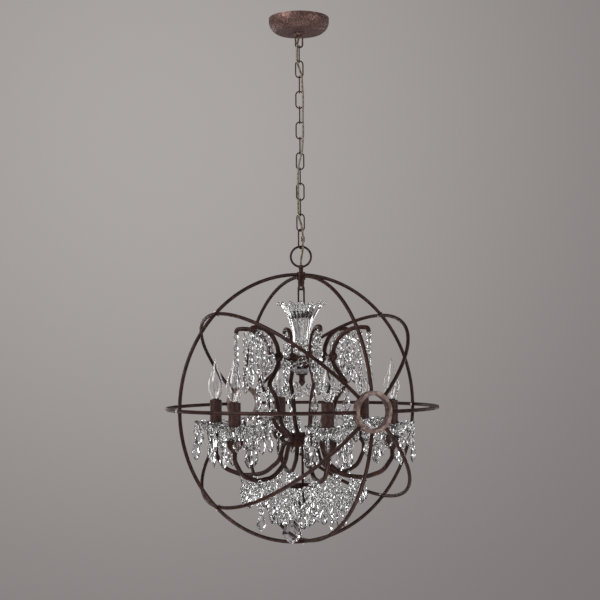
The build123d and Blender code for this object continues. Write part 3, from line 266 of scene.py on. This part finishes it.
# upright strips of light: degrees round from the picture's right, reach, rise over the cage's centre, power
STRIPS = [
    (35, 1.9, 0.2, 2.4), (62, 2.1, -0.5, 2.4), (118, 2.0, 0.1, 3),
    (141, 1.8, -0.3, 3), (222, 1.9, 0.1, 2.5), (318, 2.0, 0.3, 2.5),
]


def set_up_camera():
    """A nearly level long lens at the height of the cage's upper half, to the left of the front hub."""
    camera = add_object("camera", bpy.data.cameras.new("camera"))
    camera.data.lens = CAMERA_LENS
    camera.data.sensor_width = 36.0
    camera.data.clip_end = 60.0
    turn = Matrix.Rotation(CAMERA_TURN, 4, "Z")
    tilt = Matrix.Rotation(CAMERA_TILT, 4, "X")
    roll = Matrix.Rotation(CAMERA_ROLL, 4, "Z")
    camera.matrix_world = Matrix.Translation(CAMERA_PLACE) @ turn @ tilt @ roll
    bpy.context.scene.camera = camera
    bpy.context.scene.view_settings.view_transform = "Standard"


def add_softbox(name, place, size, power, tint=(1, 1, 1)):
    """A rectangular light that faces the cage's centre."""
    light = bpy.data.lights.new(name, "AREA")
    light.shape = "RECTANGLE"
    light.size, light.size_y = size
    light.energy = power
    light.color = tint
    lamp = add_object(name, light)
    lamp.location = place
    lamp.rotation_euler = (CENTRE - place).to_track_quat("-Z", "Y").to_euler()


def set_up_light():
    """A big soft key from the upper left, a weaker fill, and narrow strips that the crystal catches."""
    add_softbox("key_softbox", RIGHT * -2.2 + NEAR * 1.6 + up(0.7), (1.6, 1.6), 56, WARM_WHITE)
    add_softbox("fill_softbox", RIGHT * 2.4 + NEAR * 1.5 + up(-0.4), (1.2, 1.6), 18)
    add_softbox("low_panel", NEAR * 0.6 + up(-2.05), (1.2, 0.8), 9)
    for number, (turn, reach, rise, power) in enumerate(STRIPS, 1):
        outwards = Matrix.Rotation(CHAIN_TURN + math.radians(turn), 3, "Z") @ Vector((reach, 0, 0))
        add_softbox(f"strip_{number}", CENTRE + outwards + up(rise), (0.1, 1.3), power)


def light_walls():
    """A warm grey backdrop, palest at the upper left. Glass and metal also see dark and pale patches."""
    world = bpy.data.worlds.new("studio")
    bpy.context.scene.world = world
    world.use_nodes = True
    tree = world.node_tree
    tree.nodes.clear()
    towards = add_node(tree, "TexCoord").outputs["Generated"]

    palest = (-NEAR - RIGHT * 0.12 + up(0.18)).normalized()
    from_palest = add_node(tree, "VectorMath", {"operation": "DISTANCE"}, (towards, palest))
    falloff = add_node(tree, "MapRange", {"interpolation_type": "SMOOTHSTEP"},
                       Value=from_palest.outputs["Value"], From_Max=0.55)
    mixed = add_node(tree, "Mix", {"data_type": "RGBA"},
                     Factor=falloff.outputs["Result"], A=WALL_PALE, B=WALL_DARK)
    wall = mixed.outputs["Result"]

    room = add_node(tree, "TexNoise", Vector=towards, Scale=2.6, Detail=1.0)
    patches = add_node(tree, "MapRange", Value=room.outputs["Fac"],
                       From_Min=0.44, From_Max=0.56, To_Min=0.08, To_Max=1.7)
    ahead = add_node(tree, "VectorMath", {"operation": "DOT_PRODUCT"}, (towards, -NEAR))
    backdrop_share = add_node(tree, "MapRange", Value=ahead.outputs["Value"], From_Min=0.86, From_Max=0.96)
    strength = add_node(tree, "Mix", Factor=backdrop_share.outputs["Result"],
                        A=patches.outputs["Result"], B=1.0)

    soft = add_node(tree, "Background", Color=(*WARM_WHITE, 1), Strength=0.36)
    mirrored = add_node(tree, "Background", Color=wall, Strength=strength.outputs["Result"])
    plain_wall = add_node(tree, "Background", Color=wall)
    rays = add_node(tree, "LightPath").outputs
    bent = add_node(tree, "Math", {"operation": "MAXIMUM"},
                    (rays["Is Glossy Ray"], rays["Is Transmission Ray"]))
    unseen = add_node(tree, "MixShader", ordered=(
        bent.outputs["Value"], soft.outputs["Background"], mirrored.outputs["Background"]))
    shown = add_node(tree, "MixShader", ordered=(
        rays["Is Camera Ray"], unseen.outputs["Shader"], plain_wall.outputs["Background"]))
    add_node(tree, "OutputWorld", Surface=shown.outputs["Shader"])


def lay_floor():
    """A pale round floor far below the lamp, out of the picture."""
    deselect()
    bpy.ops.mesh.primitive_circle_add(vertices=96, radius=FLOOR_R, fill_type="NGON", location=up(FLOOR_Z))
    floor = bpy.context.object
    floor.name = "floor"
    settle(floor)
    floor.data.materials.append(plain("pale_floor", (0.62, 0.6, 0.58), 0.7))


# ---------------------------------------------------------------- finishes

def make_aged_metal():
    """Aged metal: a dark coat with blotches, fine speckle and paler rubbed places."""
    group = bpy.data.node_groups.new("aged_metal", "ShaderNodeTree")
    inputs = [
        ("Dark", "NodeSocketColor", (0.05, 0.025, 0.02, 1)),
        ("Coat", "NodeSocketColor", (0.1, 0.05, 0.04, 1)),
        ("Rubbed", "NodeSocketColor", (0.25, 0.14, 0.11, 1)),
        ("Rubbed Share", "NodeSocketFloat", 0.35),
        ("Scale", "NodeSocketFloat", 1.0),
    ]
    for name, kind, value in inputs:
        group.interface.new_socket(name=name, in_out="INPUT", socket_type=kind).default_value = value
    outputs = [("Colour", "NodeSocketColor"), ("Roughness", "NodeSocketFloat"), ("Height", "NodeSocketFloat")]
    for name, kind in outputs:
        group.interface.new_socket(name=name, in_out="OUTPUT", socket_type=kind)
    given = group.nodes.new("NodeGroupInput").outputs
    place = add_node(group, "TexCoord").outputs["Object"]
    sized = add_node(group, "VectorMath", {"operation": "SCALE"}, (place,), Scale=given["Scale"])

    def noise(scale, detail, roughness):
        grain = add_node(group, "TexNoise", Vector=sized.outputs["Vector"], Scale=scale, Detail=detail,
                         Roughness=roughness)
        return grain.outputs["Fac"]

    def between(value, low, high):
        return add_node(group, "MapRange", Value=value, From_Min=low, From_Max=high).outputs["Result"]

    def blended(share, first, second):
        mixed = add_node(group, "Mix", {"data_type": "RGBA"}, Factor=share, A=first, B=second)
        return mixed.outputs["Result"]

    blotches = between(noise(60, 4, 0.6), 0.36, 0.62)
    speckle = between(noise(420, 3, 0.7), 0.55, 0.72)
    worn = between(noise(130, 5, 0.65), 0.47, 0.66)
    worn_share = add_node(group, "Math", {"operation": "MULTIPLY"}, (worn, given["Rubbed Share"]))
    pale = add_node(group, "Math", {"operation": "MULTIPLY_ADD"},
                    (speckle, given["Rubbed Share"], worn_share.outputs["Value"]))
    coat = blended(blotches, given["Dark"], given["Coat"])
    colour = blended(between(pale.outputs["Value"], 0.0, 1.0), coat, given["Rubbed"])
    shine = add_node(group, "MapRange", Value=noise(90, 3, 0.5), To_Min=0.36, To_Max=0.6)
    set_inputs(group, group.nodes.new("NodeGroupOutput"), Colour=colour, Roughness=shine.outputs["Result"],
               Height=noise(300, 4, 0.6))
    return group


def new_finish(name):
    """A new material, its node tree and its shader."""
    material = bpy.data.materials.new(name)
    material.use_nodes = True
    return material, material.node_tree, material.node_tree.nodes["Principled BSDF"]


def aged(name, dark, coat, rubbed, share, scale=1.0, metallic=0.55, bump=0.25):
    """Aged metal in three colours, with the share that is rubbed pale. A larger scale is a finer pattern."""
    material, tree, shader = new_finish(name)
    finish = add_node(tree, "Group", {"node_tree": AGED_METAL}, Dark=(*dark, 1), Coat=(*coat, 1),
                      Rubbed=(*rubbed, 1), Rubbed_Share=share, Scale=scale).outputs
    grain = add_node(tree, "Bump", Strength=bump, Distance=0.0004, Height=finish["Height"])
    set_inputs(tree, shader, Base_Color=finish["Colour"], Metallic=metallic, Roughness=finish["Roughness"],
               Specular_IOR_Level=0.3, Normal=grain.outputs["Normal"])
    return material


def plain(name, colour, roughness, metallic=0.0):
    """A surface of one colour, with a faint unevenness in its shine."""
    material, tree, shader = new_finish(name)
    place = add_node(tree, "TexCoord").outputs["Object"]
    grain = add_node(tree, "TexNoise", Vector=place, Scale=140)
    shine = add_node(tree, "MapRange", Value=grain.outputs["Fac"],
                     To_Min=roughness - 0.06, To_Max=roughness + 0.06)
    set_inputs(tree, shader, Base_Color=(*colour, 1), Metallic=metallic, Roughness=shine.outputs["Result"])
    return material


def clear_glass(name, tint, ior, roughness=0.0, ripple=0.0, scale=60, clearness=1.0):
    """Glass, with an uneven surface where ripple is over 0. Under a clearness of 1 it is partly milky."""
    material, tree, shader = new_finish(name)
    set_inputs(tree, shader, Base_Color=(*tint, 1), Roughness=roughness, IOR=ior,
               Transmission_Weight=clearness)
    if ripple:
        place = add_node(tree, "TexCoord").outputs["Object"]
        wave = add_node(tree, "TexNoise", Vector=place, Scale=scale)
        bump = add_node(tree, "Bump", Strength=ripple, Distance=0.001, Height=wave.outputs["Fac"])
        set_inputs(tree, shader, Normal=bump.outputs["Normal"])
    return material


def make_cord_cover():
    """A clear gold-tinted cover with the twisted cores showing through as slanting bands."""
    material, tree, shader = new_finish("cord_cover")
    place = add_node(tree, "TexCoord").outputs["Object"]
    bands = add_node(tree, "TexWave", {"bands_direction": "DIAGONAL"}, Vector=place, Scale=55, Distortion=1.2)
    tint = add_node(tree, "Mix", {"data_type": "RGBA"}, Factor=bands.outputs["Fac"],
                    A=(0.085, 0.060, 0.032, 1), B=(0.185, 0.140, 0.085, 1))
    set_inputs(tree, shader, Base_Color=tint.outputs["Result"], Roughness=0.22, Coat_Weight=0.4)
    return material


AGED_METAL = make_aged_metal()
RUST = aged("rust_metal", (0.009, 0.0032, 0.0026), (0.038, 0.0125, 0.0088), (0.125, 0.052, 0.038), 0.28,
            metallic=0.3)
CANOPY = aged("canopy_metal", (0.040, 0.016, 0.013), (0.125, 0.062, 0.053), (0.42, 0.28, 0.255), 0.62,
              scale=2.4, bump=0.5)
HUB = aged("hub_metal", (0.085, 0.048, 0.041), (0.20, 0.135, 0.121), (0.46, 0.37, 0.34), 0.5)
RIVET = aged("rivet_metal", (0.42, 0.38, 0.36), (0.66, 0.63, 0.61), (0.8, 0.78, 0.76), 0.5)
BRONZE = aged("chain_metal", (0.010, 0.0040, 0.0026), (0.046, 0.0185, 0.0120), (0.15, 0.080, 0.055), 0.25,
              scale=1.5, metallic=0.2)
SLEEVE = aged("sleeve_metal", (0.024, 0.010, 0.0085), (0.060, 0.029, 0.024), (0.15, 0.08, 0.067), 0.35,
              scale=1.6, metallic=0.3)
CRYSTAL = clear_glass("crystal", (0.985, 0.99, 1.0), 1.52)
BLOWN = clear_glass("blown_glass", (0.985, 0.99, 0.995), 1.5, 0.01, ripple=0.35, scale=45)
CUT = clear_glass("cut_glass", (1.0, 1.0, 1.0), 1.52, 0.05, ripple=0.9, scale=240)
FROSTED = clear_glass("frosted_glass", (0.97, 0.97, 0.97), 1.5, 0.12, ripple=1.0, scale=300, clearness=0.8)
LAMP = clear_glass("lamp_glass", (0.99, 0.99, 0.99), 1.45)
BRASS = plain("lamp_brass", (0.55, 0.42, 0.22), 0.3, 1.0)
PLASTIC = plain("lamp_plastic", (0.04, 0.038, 0.035), 0.5)
ZINC = plain("zinc_steel", (0.62, 0.62, 0.60), 0.28, 1.0)
WIRE = plain("pin_wire", (0.22, 0.19, 0.16), 0.3, 1.0)
THREAD = plain("silver_thread", (0.75, 0.74, 0.72), 0.25, 0.8)
FILAMENT = plain("filament_wire", (0.06, 0.05, 0.045), 0.35, 0.6)
CORD_COVER = make_cord_cover()

CHAIN_LINKS = [f"chain_link_{i:02d}" for i in range(1, 13)]
NODE_FINISH = {
    CANOPY: ["canopy_cup", "canopy_collar", "canopy_loop"],
    RUST: ["top_collar", "meridian_ring", "vertical_ring", "rising_ring", "falling_ring", "equator_ring",
           "orb_stem", "hanger_link", "crown_disc", "bead_bowl", "upper_finial", "scroll_bars", "arm_hub",
           "candle_arms", "drip_cups", "basket_rod", "basket_disc", "bottom_finial"],
    HUB: ["front_hub", "back_hub"],
    RIVET: ["crossing_rivets", "clevis_pin"],
    BRONZE: ["quick_link", "quick_link_nut", "top_ring", *CHAIN_LINKS],
    SLEEVE: ["candle_sleeves"],
    CRYSTAL: ["bottom_drop"],
    FROSTED: ["glass_dish"],
    BRASS: ["bulb_bases"],
    PLASTIC: ["lamp_sockets", "terminal_block"],
    ZINC: ["mounting_bracket", "earth_screw", "threaded_nipple", "nipple_nuts", "centre_rod"],
}


def paint_nodes():
    for material, names in NODE_FINISH.items():
        for name in names:
            for slot in nodes[name].material_slots:
                slot.material = material


# ---------------------------------------------------------------- supply cord

MM = 0.001
CORD_R = 2.3 * MM
CORD_TOP = -36.3 * MM  # in the canopy loop's hole
CORD_BOTTOM = -576.1 * MM  # in the boss of the hanging ring
PAST_END = 0.02  # so far past the cord's ends that nothing is cut there

# millimetres across to the right, towards the viewer and up, from the ceiling end down
CORD_ROUTE = [
    (0, 0, CORD_TOP / MM), (0, 0, CORD_TOP / MM - 9), (-4.5, 6, CORD_TOP / MM - 24),
    (-5.5, 7, -84), (-5, 7, -104), (0, 7, -118), (5.5, 7, -134), (6.5, 7.5, -158), (8.5, 7, -190),
    (7, 7.5, -225), (7.5, 7, -262), (6, 7, -298), (4, 7.5, -316), (-3.5, 7.5, -340), (-5.5, 7, -368),
    (-4.5, 8, -403), (-5, 7, -439), (-4.3, 8, -463), (4, 8, -486), (5.5, 7, -516), (4.5, 6, -538),
    (0.5, 1, -558), (0, 0, CORD_BOTTOM / MM + 9), (0, 0, CORD_BOTTOM / MM),
]


def make_cord():
    """The flex that is woven down the chain: one smooth tube, parted at each link's middle."""
    curve = round_wire("cord_line", CORD_R, 4)
    curve.resolution_u = 10
    curve.use_fill_caps = True
    route = [(RIGHT * across + NEAR * near + up(height)) * MM for across, near, height in CORD_ROUTE]
    add_line(curve, "NURBS", route)
    tube = mesh_of_curve(curve)

    middles = []
    for name in [*CHAIN_LINKS, "quick_link"]:
        low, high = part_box(name)
        middles.append((low[2] + high[2]) / 2)
    ends = [CORD_TOP + PAST_END, *middles, CORD_BOTTOM - PAST_END]
    for number, (upper, lower) in enumerate(zip(ends, ends[1:])):
        piece = add_object(f"supply_cord_{number + 1:02d}", tube.copy())
        select_only(piece)
        bpy.ops.object.mode_set(mode="EDIT")
        for height, above in ((upper, True), (lower, False)):
            bpy.ops.mesh.select_all(action="SELECT")
            bpy.ops.mesh.bisect(plane_co=(0, 0, height), plane_no=(0, 0, 1),
                                clear_outer=above, clear_inner=not above)
        bpy.ops.object.mode_set(mode="OBJECT")
        bpy.ops.object.shade_smooth()
        piece.data.materials.clear()
        piece.data.materials.append(CORD_COVER)
        if number == 0:
            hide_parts("supply_cord")
        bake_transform(piece)


# ---------------------------------------------------------------- glass and bowl net on the centre rod

VASE_PETALS = 12
VASE_WALL = 0.0014
VASE_LIP = 0.0006  # how much higher each level of the inside stands
RIB_DEPTH = 0.09  # as a share of the radius
RIM_RIB_DEPTH = 0.14
PETAL_PULL = 0.05  # of the radius, between two petals of the rim
PETAL_DIP = 0.009
CURL_PLACE_R = 0.0515
CURL_PLACE_H = 0.2376  # over the cage's centre
CURL_R = 0.0040
CURL_WIRE_R = 0.0013

# radius, and height over the cage's centre
VASE_OUTSIDE = [
    (0.0215, 0.1425), (0.0210, 0.150), (0.0206, 0.160), (0.0214, 0.170), (0.0236, 0.180), (0.0262, 0.190),
    (0.0290, 0.200), (0.0330, 0.209), (0.0378, 0.2175), (0.0430, 0.2255), (0.0482, 0.2325), (0.0528, 0.238),
    (0.0552, 0.2405),
]
# stretches from a petal's middle to the gap beside it, as shares of its width, each with its share of the dip
PETAL_EDGE = [((0.1, 0.2), 0.04), ((0.2, 0.3), 0.25), ((0.3, 0.45), 0.7), ((0.45, 0.6), 1.0)]

THREAD_R = 0.0004
NET_STARTS = 6  # places round the lip where two threads part, one each way
NET_TURN = 0.25  # round the bowl from each point of its side to the next, in radians
# radius, and height over the ball's foot
BOWL_SIDE = [
    (0.0344, -0.004), (0.0346, -0.010), (0.0315, -0.016), (0.0262, -0.0225), (0.0190, -0.0270),
    (0.0118, -0.0294),
]


def towards_rim(height, start):
    """0 below the start, which is a share of the vase's height, and 1 at the rim."""
    foot, rim = VASE_OUTSIDE[0][1], VASE_OUTSIDE[-1][1]
    return max(0.0, (height - foot) / (rim - foot) - start) / (1 - start)


def rib_depth(height):
    return RIB_DEPTH + (RIM_RIB_DEPTH - RIB_DEPTH) * towards_rim(height, 0.8)


def make_vase():
    """The pressed glass trumpet: fine ribs outside, smooth inside, and a rim of petals with curled tips."""
    inside = [
        (radius * (1 - rib_depth(height)) - VASE_WALL, height + VASE_LIP)
        for radius, height in reversed(VASE_OUTSIDE[1:])
    ]
    rod_hole = [(ROD_HOLE_R, VASE_OUTSIDE[1][1]), (ROD_HOLE_R, VASE_OUTSIDE[0][1])]
    profile = [(radius, ORB_Z + height) for radius, height in VASE_OUTSIDE + inside + rod_hole]
    vase = turned("vase_shell", profile, VASE_PETALS * 8)
    bpy.ops.object.mode_set(mode="EDIT")
    for radius, height in sorted(VASE_OUTSIDE + inside, key=lambda level: level[1]):
        if (radius, height) in VASE_OUTSIDE:
            shape_ring(vase, ORB_Z + height, VASE_PETALS * 2, (0.2, 0.6), 1 - rib_depth(height))
        near_rim = towards_rim(height, 0.75)
        if near_rim:
            for spread, share in PETAL_EDGE:
                dip = share * near_rim
                shape_ring(vase, ORB_Z + height, VASE_PETALS, spread, 1 - PETAL_PULL * dip, PETAL_DIP * dip)
    bpy.ops.object.mode_set(mode="OBJECT")
    smooth = vase.modifiers.new("smooth", "SUBSURF")
    smooth.levels = smooth.render_levels = 1
    finish_modifiers(vase)
    bpy.ops.object.shade_smooth()

    curl = small_ring(16, 8, CURL_R, CURL_WIRE_R)
    bpy.ops.object.shade_smooth()
    tip = Matrix.Translation((CURL_PLACE_R, 0, ORB_Z + CURL_PLACE_H))
    tips = [Matrix.Rotation(2 * math.pi * i / VASE_PETALS, 4, "Z") @ tip for i in range(VASE_PETALS)]
    fit(vase, BLOWN, "crystal", "glass_vase")
    fit(copies("vase_curls", curl, tips), BLOWN, "crystal")


def make_ball():
    """The cut ball under the vase: rings of flat facets, each ring turned half a facet from the last."""
    facets, steps = 14, 8
    middle = ORB_Z + BALL_TOP - BALL_H / 2
    deselect()
    bpy.ops.mesh.primitive_uv_sphere_add(segments=facets, ring_count=steps, radius=BALL_R,
                                         location=up(middle))
    ball = bpy.context.object
    ball.name = "cut_ball"
    settle(ball)
    bpy.ops.object.mode_set(mode="EDIT")
    bpy.ops.mesh.select_all(action="SELECT")
    bpy.ops.transform.resize(value=(1, 1, BALL_H / 2 / BALL_R), center_override=up(middle))
    for step in (-3, -1, 1, 3):
        level = middle + BALL_H / 2 * math.sin(step * math.pi / steps)
        pick_vertices(ball, lambda place: abs(place.z - level) < 0.0004)
        bpy.ops.transform.rotate(value=math.pi / facets, orient_axis="Z", center_override=up(middle))
    bpy.ops.object.mode_set(mode="OBJECT")
    fit(ball, CUT, "crystal", "glass_ball")


def make_bowl_net():
    """Bright threads that cross over the outside of the dark bowl, from its lip to its foot."""
    curve = round_wire("net_line", THREAD_R, 1)
    for start in range(NET_STARTS):
        for way in (1, -1):
            places = []
            for number, (radius, height) in enumerate(BOWL_SIDE):
                turn = 2 * math.pi * start / NET_STARTS + way * number * NET_TURN
                level = ORB_Z + BALL_TOP - BALL_H + height
                places.append((radius * math.cos(turn), radius * math.sin(turn), level))
            add_line(curve, "NURBS", places)
    fit(add_object("bowl_net", mesh_of_curve(curve)), THREAD, "rivet_metal")


# ---------------------------------------------------------------- glass on the arms

PAN_LOBES = 12
PAN_HOLE_R = 0.0053
PAN_WALL = 0.0022
PAN_LIP = 0.0016  # how much higher each level of the inside stands
PAN_CUTS = 0.965  # of the radius, in the grooves of the outside
PAN_GAP = 0.00015  # over the cup

# radius, and height over the pan's foot
PAN_OUTSIDE = [
    (PAN_HOLE_R, 0.0), (SLEEVE_R, 0.0002), (0.0195, 0.0035), (0.0255, 0.0095), (0.0305, 0.0160),
    (0.0352, 0.0205), (0.0405, 0.0240), (0.0455, 0.0272), (0.0495, 0.0302), (0.0518, 0.0328),
]
# stretches from a scallop's middle to the gap beside it, each with its shares of the pull inwards and the dip
SCALLOP_EDGE = [((0.1, 0.25), 0.2, 0.15), ((0.25, 0.4), 0.6, 0.55), ((0.4, 0.6), 1.0, 1.0)]

BULB_FOOT = 0.0022  # over the sleeve's top
BULB_WALL = 0.0007
FILAMENT_R = 0.0003

# radius, and height as a share of the bulb's
BULB_OUTLINE = [
    (0.0072, 0.0), (0.0085, 0.03), (0.0128, 0.12), (0.0163, 0.23), (0.0175, 0.34), (0.0168, 0.44),
    (0.0142, 0.55), (0.0105, 0.66), (0.0070, 0.77), (0.0042, 0.87), (0.0022, 0.95), (0.0008, 1.0),
]
# radius, and height over the bulb's foot
STEM_OUTLINE = [
    (0.0040, -0.001), (0.0030, 0.003), (0.0017, 0.008), (0.0013, 0.016), (0.0018, 0.018), (0.0006, 0.0195),
]
# across, and height over the bulb's foot
SUPPORT_WIRE = [(0.0008, 0.010), (0.004, 0.024), (0.0068, 0.032), (0.0068, 0.034)]
# across, towards the back or front, and height over the bulb's foot
BENT_FILAMENT = [
    (-0.0068, 0, 0.034), (-0.0045, 0.001, 0.041), (-0.0022, 0, 0.034), (0, -0.001, 0.042),
    (0.0022, 0, 0.034), (0.0045, 0.001, 0.041), (0.0068, 0, 0.034),
]


def make_pans():
    """The glass drip pans: a cut bowl with a wide rim, waved in scallops, on an even inside."""
    foot = CUP_TOP + PAN_GAP
    inside = [(radius - PAN_WALL, height + PAN_LIP) for radius, height in reversed(PAN_OUTSIDE[2:])]
    profile = [(radius, foot + height) for radius, height in PAN_OUTSIDE + inside + [(PAN_HOLE_R, PAN_WALL)]]
    pan = turned("pan_shell", profile, PAN_LOBES * 6)
    bpy.ops.object.mode_set(mode="EDIT")
    for radius, height in sorted(PAN_OUTSIDE[2:] + inside, key=lambda level: level[1]):
        out = max(0.0, (radius - SLEEVE_R) / (PAN_R - SLEEVE_R))
        pull = 0.02 + 0.09 * out**2
        dip = 0.0055 * out**3
        if (radius, height) in PAN_OUTSIDE:
            shape_ring(pan, foot + height, PAN_LOBES * 3, (0.3, 0.6), PAN_CUTS)
        for spread, pull_share, dip_share in SCALLOP_EDGE:
            shape_ring(pan, foot + height, PAN_LOBES, spread, 1 - pull_share * pull, dip_share * dip)
    bpy.ops.object.mode_set(mode="OBJECT")
    fit(copies("drip_pans", pan, AT_CANDLES), BLOWN, "crystal", "glass_pans")


def make_bulbs():
    """Clear flame bulbs: a thin shell, a glass stem inside it, and a bent filament on two support wires."""
    foot = SLEEVE_TOP + BULB_FOOT
    shell_profile = [(radius, foot + share * (BULB_TIP - foot)) for radius, share in BULB_OUTLINE]
    shell = turned("bulb_shell", shell_profile, 24, close_top=True)
    wall = shell.modifiers.new("wall", "SOLIDIFY")
    wall.thickness = BULB_WALL
    wall.offset = -1
    finish_modifiers(shell)
    bpy.ops.object.shade_smooth()
    stem_profile = [(radius, foot + height) for radius, height in STEM_OUTLINE]
    stem = turned("bulb_stem", stem_profile, 12, close_top=True, close_base=True)
    bpy.ops.object.shade_smooth()
    fit(copies("flame_bulbs", shell, AT_CANDLES), LAMP, "lamp_glass", "bulb_glasses")
    fit(copies("bulb_stems", stem, AT_CANDLES), LAMP, "lamp_glass")

    curve = round_wire("filament", FILAMENT_R, 1)
    for side in (1, -1):
        add_line(curve, "POLY", [(side * across, 0, foot + height) for across, height in SUPPORT_WIRE])
    add_line(curve, "POLY", [(across, near, foot + height) for across, near, height in BENT_FILAMENT])
    wire = add_object("filament_wire", mesh_of_curve(curve))
    fit(copies("bulb_filaments", wire, AT_CANDLES), FILAMENT, "lamp_brass")


# ---------------------------------------------------------------- cut stones

BEAD_POINTS = 10  # corners of a plain octagon bead in the CAD: eight round its girdle and one on each face
TWIST = 1.1  # the most that a free bead is turned about its string, in radians
KITE_TURN = 80  # and a kite from the viewer, in degrees
PIN_R = 0.0016  # of the ring that a pin is bent into
PIN_WIRE_R = 0.00035
PIN_REACH = 0.465  # from a bead's middle to its pin, as a share of the bead's width

KITE_OUTLINE = [
    (-0.11, -0.005), (0.11, -0.005), (0.335, -0.22), (0.495, -0.62), (0.26, -0.86), (0.0, -0.995),
    (-0.26, -0.86), (-0.495, -0.62), (-0.335, -0.22),
]


def islands(node):
    """The corner points of each loose solid of a CAD node."""
    mesh = bmesh.new()
    mesh.from_mesh(nodes[node].data)
    bmesh.ops.remove_doubles(mesh, verts=mesh.verts, dist=0.00002)
    seen = set()
    for start in mesh.verts:
        if start in seen:
            continue
        seen.add(start)
        found, queue = [], [start]
        while queue:
            vertex = queue.pop()
            found.append(vertex.co.copy())
            for edge in vertex.link_edges:
                other = edge.other_vert(vertex)
                if other not in seen:
                    seen.add(other)
                    queue.append(other)
        yield found
    mesh.free()


def bead_place(points, chance):
    """The matrix that carries the model bead onto a solid. One that hangs free is turned about its string."""
    middle = sum(points, Vector()) / len(points)
    points.sort(key=lambda point: (point - middle).length)
    face = (points[1] - points[0]) / 2
    corner = points[2] - middle
    along = (Matrix.Rotation(math.pi / 8, 3, face) @ corner).normalized()
    width = corner.length * 2
    size = Matrix.Diagonal((width, face.length * 2, width, 1))
    axes = Matrix((along, face.normalized(), along.cross(face.normalized()))).transposed().to_4x4()
    # a bead that is upright, with one of its eight flats straight above its middle, hangs free
    eighths = math.acos(max(-1.0, min(1.0, along.z))) / (math.pi / 4)
    hangs = abs(face.z) < 1e-5 and abs(eighths - round(eighths)) < 0.02
    twist = Matrix.Rotation(chance.uniform(-TWIST, TWIST) if hangs else 0.0, 4, "Z")
    return Matrix.Translation(middle) @ twist @ axes @ size


def kite_place(points, chance):
    """The matrix that carries the model kite onto a solid, with its face more or less to the viewer."""
    points.sort(key=lambda point: -point.z)
    hook = (points[0] + points[1]) / 2
    along = (points[1] - points[0]).normalized()
    face = up(1).cross(along)
    width = 2 * max(abs((point - hook).dot(along)) for point in points)
    thickness = 2 * max(abs((point - hook).dot(face)) for point in points)
    size = Matrix.Diagonal((width, thickness, hook.z - points[-1].z, 1))
    towards_viewer = math.atan2(NEAR.y, NEAR.x)
    heading = towards_viewer + math.pi / 2 + math.radians(chance.triangular(-KITE_TURN, KITE_TURN, 0))
    return Matrix.Translation(hook) @ Matrix.Rotation(heading, 4, "Z") @ size


def cut_table(side, rise, narrower, shorter, middle=0.0):
    """Lifts the selected face off one side of a stone and draws it in, with a row of facets round it."""
    bpy.ops.mesh.inset(thickness=0.0)
    bpy.ops.transform.translate(value=(0, side * rise, 0))
    bpy.ops.transform.resize(value=(narrower, 1, shorter), center_override=up(middle))


def model_bead():
    """An octagon of unit width: a thin girdle, slanting facets, and a table with small facets round it."""
    deselect()
    bpy.ops.mesh.primitive_cylinder_add(vertices=8, radius=0.49, depth=0.14, rotation=(math.pi / 2, 0, 0))
    bead = bpy.context.object
    settle(bead)
    bpy.ops.object.mode_set(mode="EDIT")
    for side in (-1, 1):
        pick_vertices(bead, lambda place: place.y * side > 0)
        cut_table(side, 0.29, 0.66, 0.66)
        cut_table(side, 0.10, 0.68, 0.68)
        bpy.ops.transform.rotate(value=math.pi / 8, orient_axis="Y", center_override=(0, 0, 0))
    bpy.ops.object.mode_set(mode="OBJECT")
    return bead


def model_kite():
    """A kite drop of unit width, thickness and length, hung from the origin, with two rows of facets."""
    half_girdle = 0.06
    deselect()
    bpy.ops.mesh.primitive_circle_add(vertices=len(KITE_OUTLINE), radius=0.5, fill_type="NGON")
    kite = bpy.context.object
    for vertex, (across, height) in zip(kite.data.vertices, KITE_OUTLINE):
        vertex.co = (across, -half_girdle, height)
    bpy.ops.object.mode_set(mode="EDIT")
    bpy.ops.mesh.select_all(action="SELECT")
    bpy.ops.mesh.extrude_region_move(TRANSFORM_OT_translate={"value": (0, 2 * half_girdle, 0)})
    for side in (-1, 1):
        pick_vertices(kite, lambda place: place.y * side > 0.05)
        cut_table(side, 0.30, 0.68, 0.74, -0.56)
        cut_table(side, 0.11, 0.55, 0.62, -0.55)
    bpy.ops.mesh.select_all(action="SELECT")
    bpy.ops.mesh.normals_make_consistent(inside=False)
    bpy.ops.object.mode_set(mode="OBJECT")
    return kite


def hang_stones():
    """Cut stones in place of the CAD's plain ones, and the wire pins that join them."""
    pins = []
    chance = random.Random(7)
    for node in ("scroll_strings", "pan_pendants", "waist_strings", "basket_garlands"):
        beads, kites = [], []
        for points in islands(node):
            if len(points) == BEAD_POINTS:
                beads.append(bead_place(points, chance))
            else:
                kites.append(kite_place(points, chance))
        parts = []
        if beads:
            parts.append(copies(node + "_octagons", model_bead(), beads))
        if kites:
            parts.append(copies(node + "_kites", model_kite(), kites))
        fit(parts[0], CRYSTAL, "crystal", node)
        for part in parts[1:]:
            fit(part, CRYSTAL, "crystal")
        pins += [Matrix.Translation(kite.translation) for kite in kites]
        pins += [Matrix.Translation(bead @ up(PIN_REACH)) for bead in beads]
    fit(copies("stone_pins", small_ring(8, 4, PIN_R, PIN_WIRE_R), pins), WIRE, "rivet_metal")


# ---------------------------------------------------------------- everything

set_up_camera()
set_up_light()
light_walls()
lay_floor()
paint_nodes()
make_cord()
make_vase()
make_ball()
make_bowl_net()
make_pans()
make_bulbs()
hang_stones()
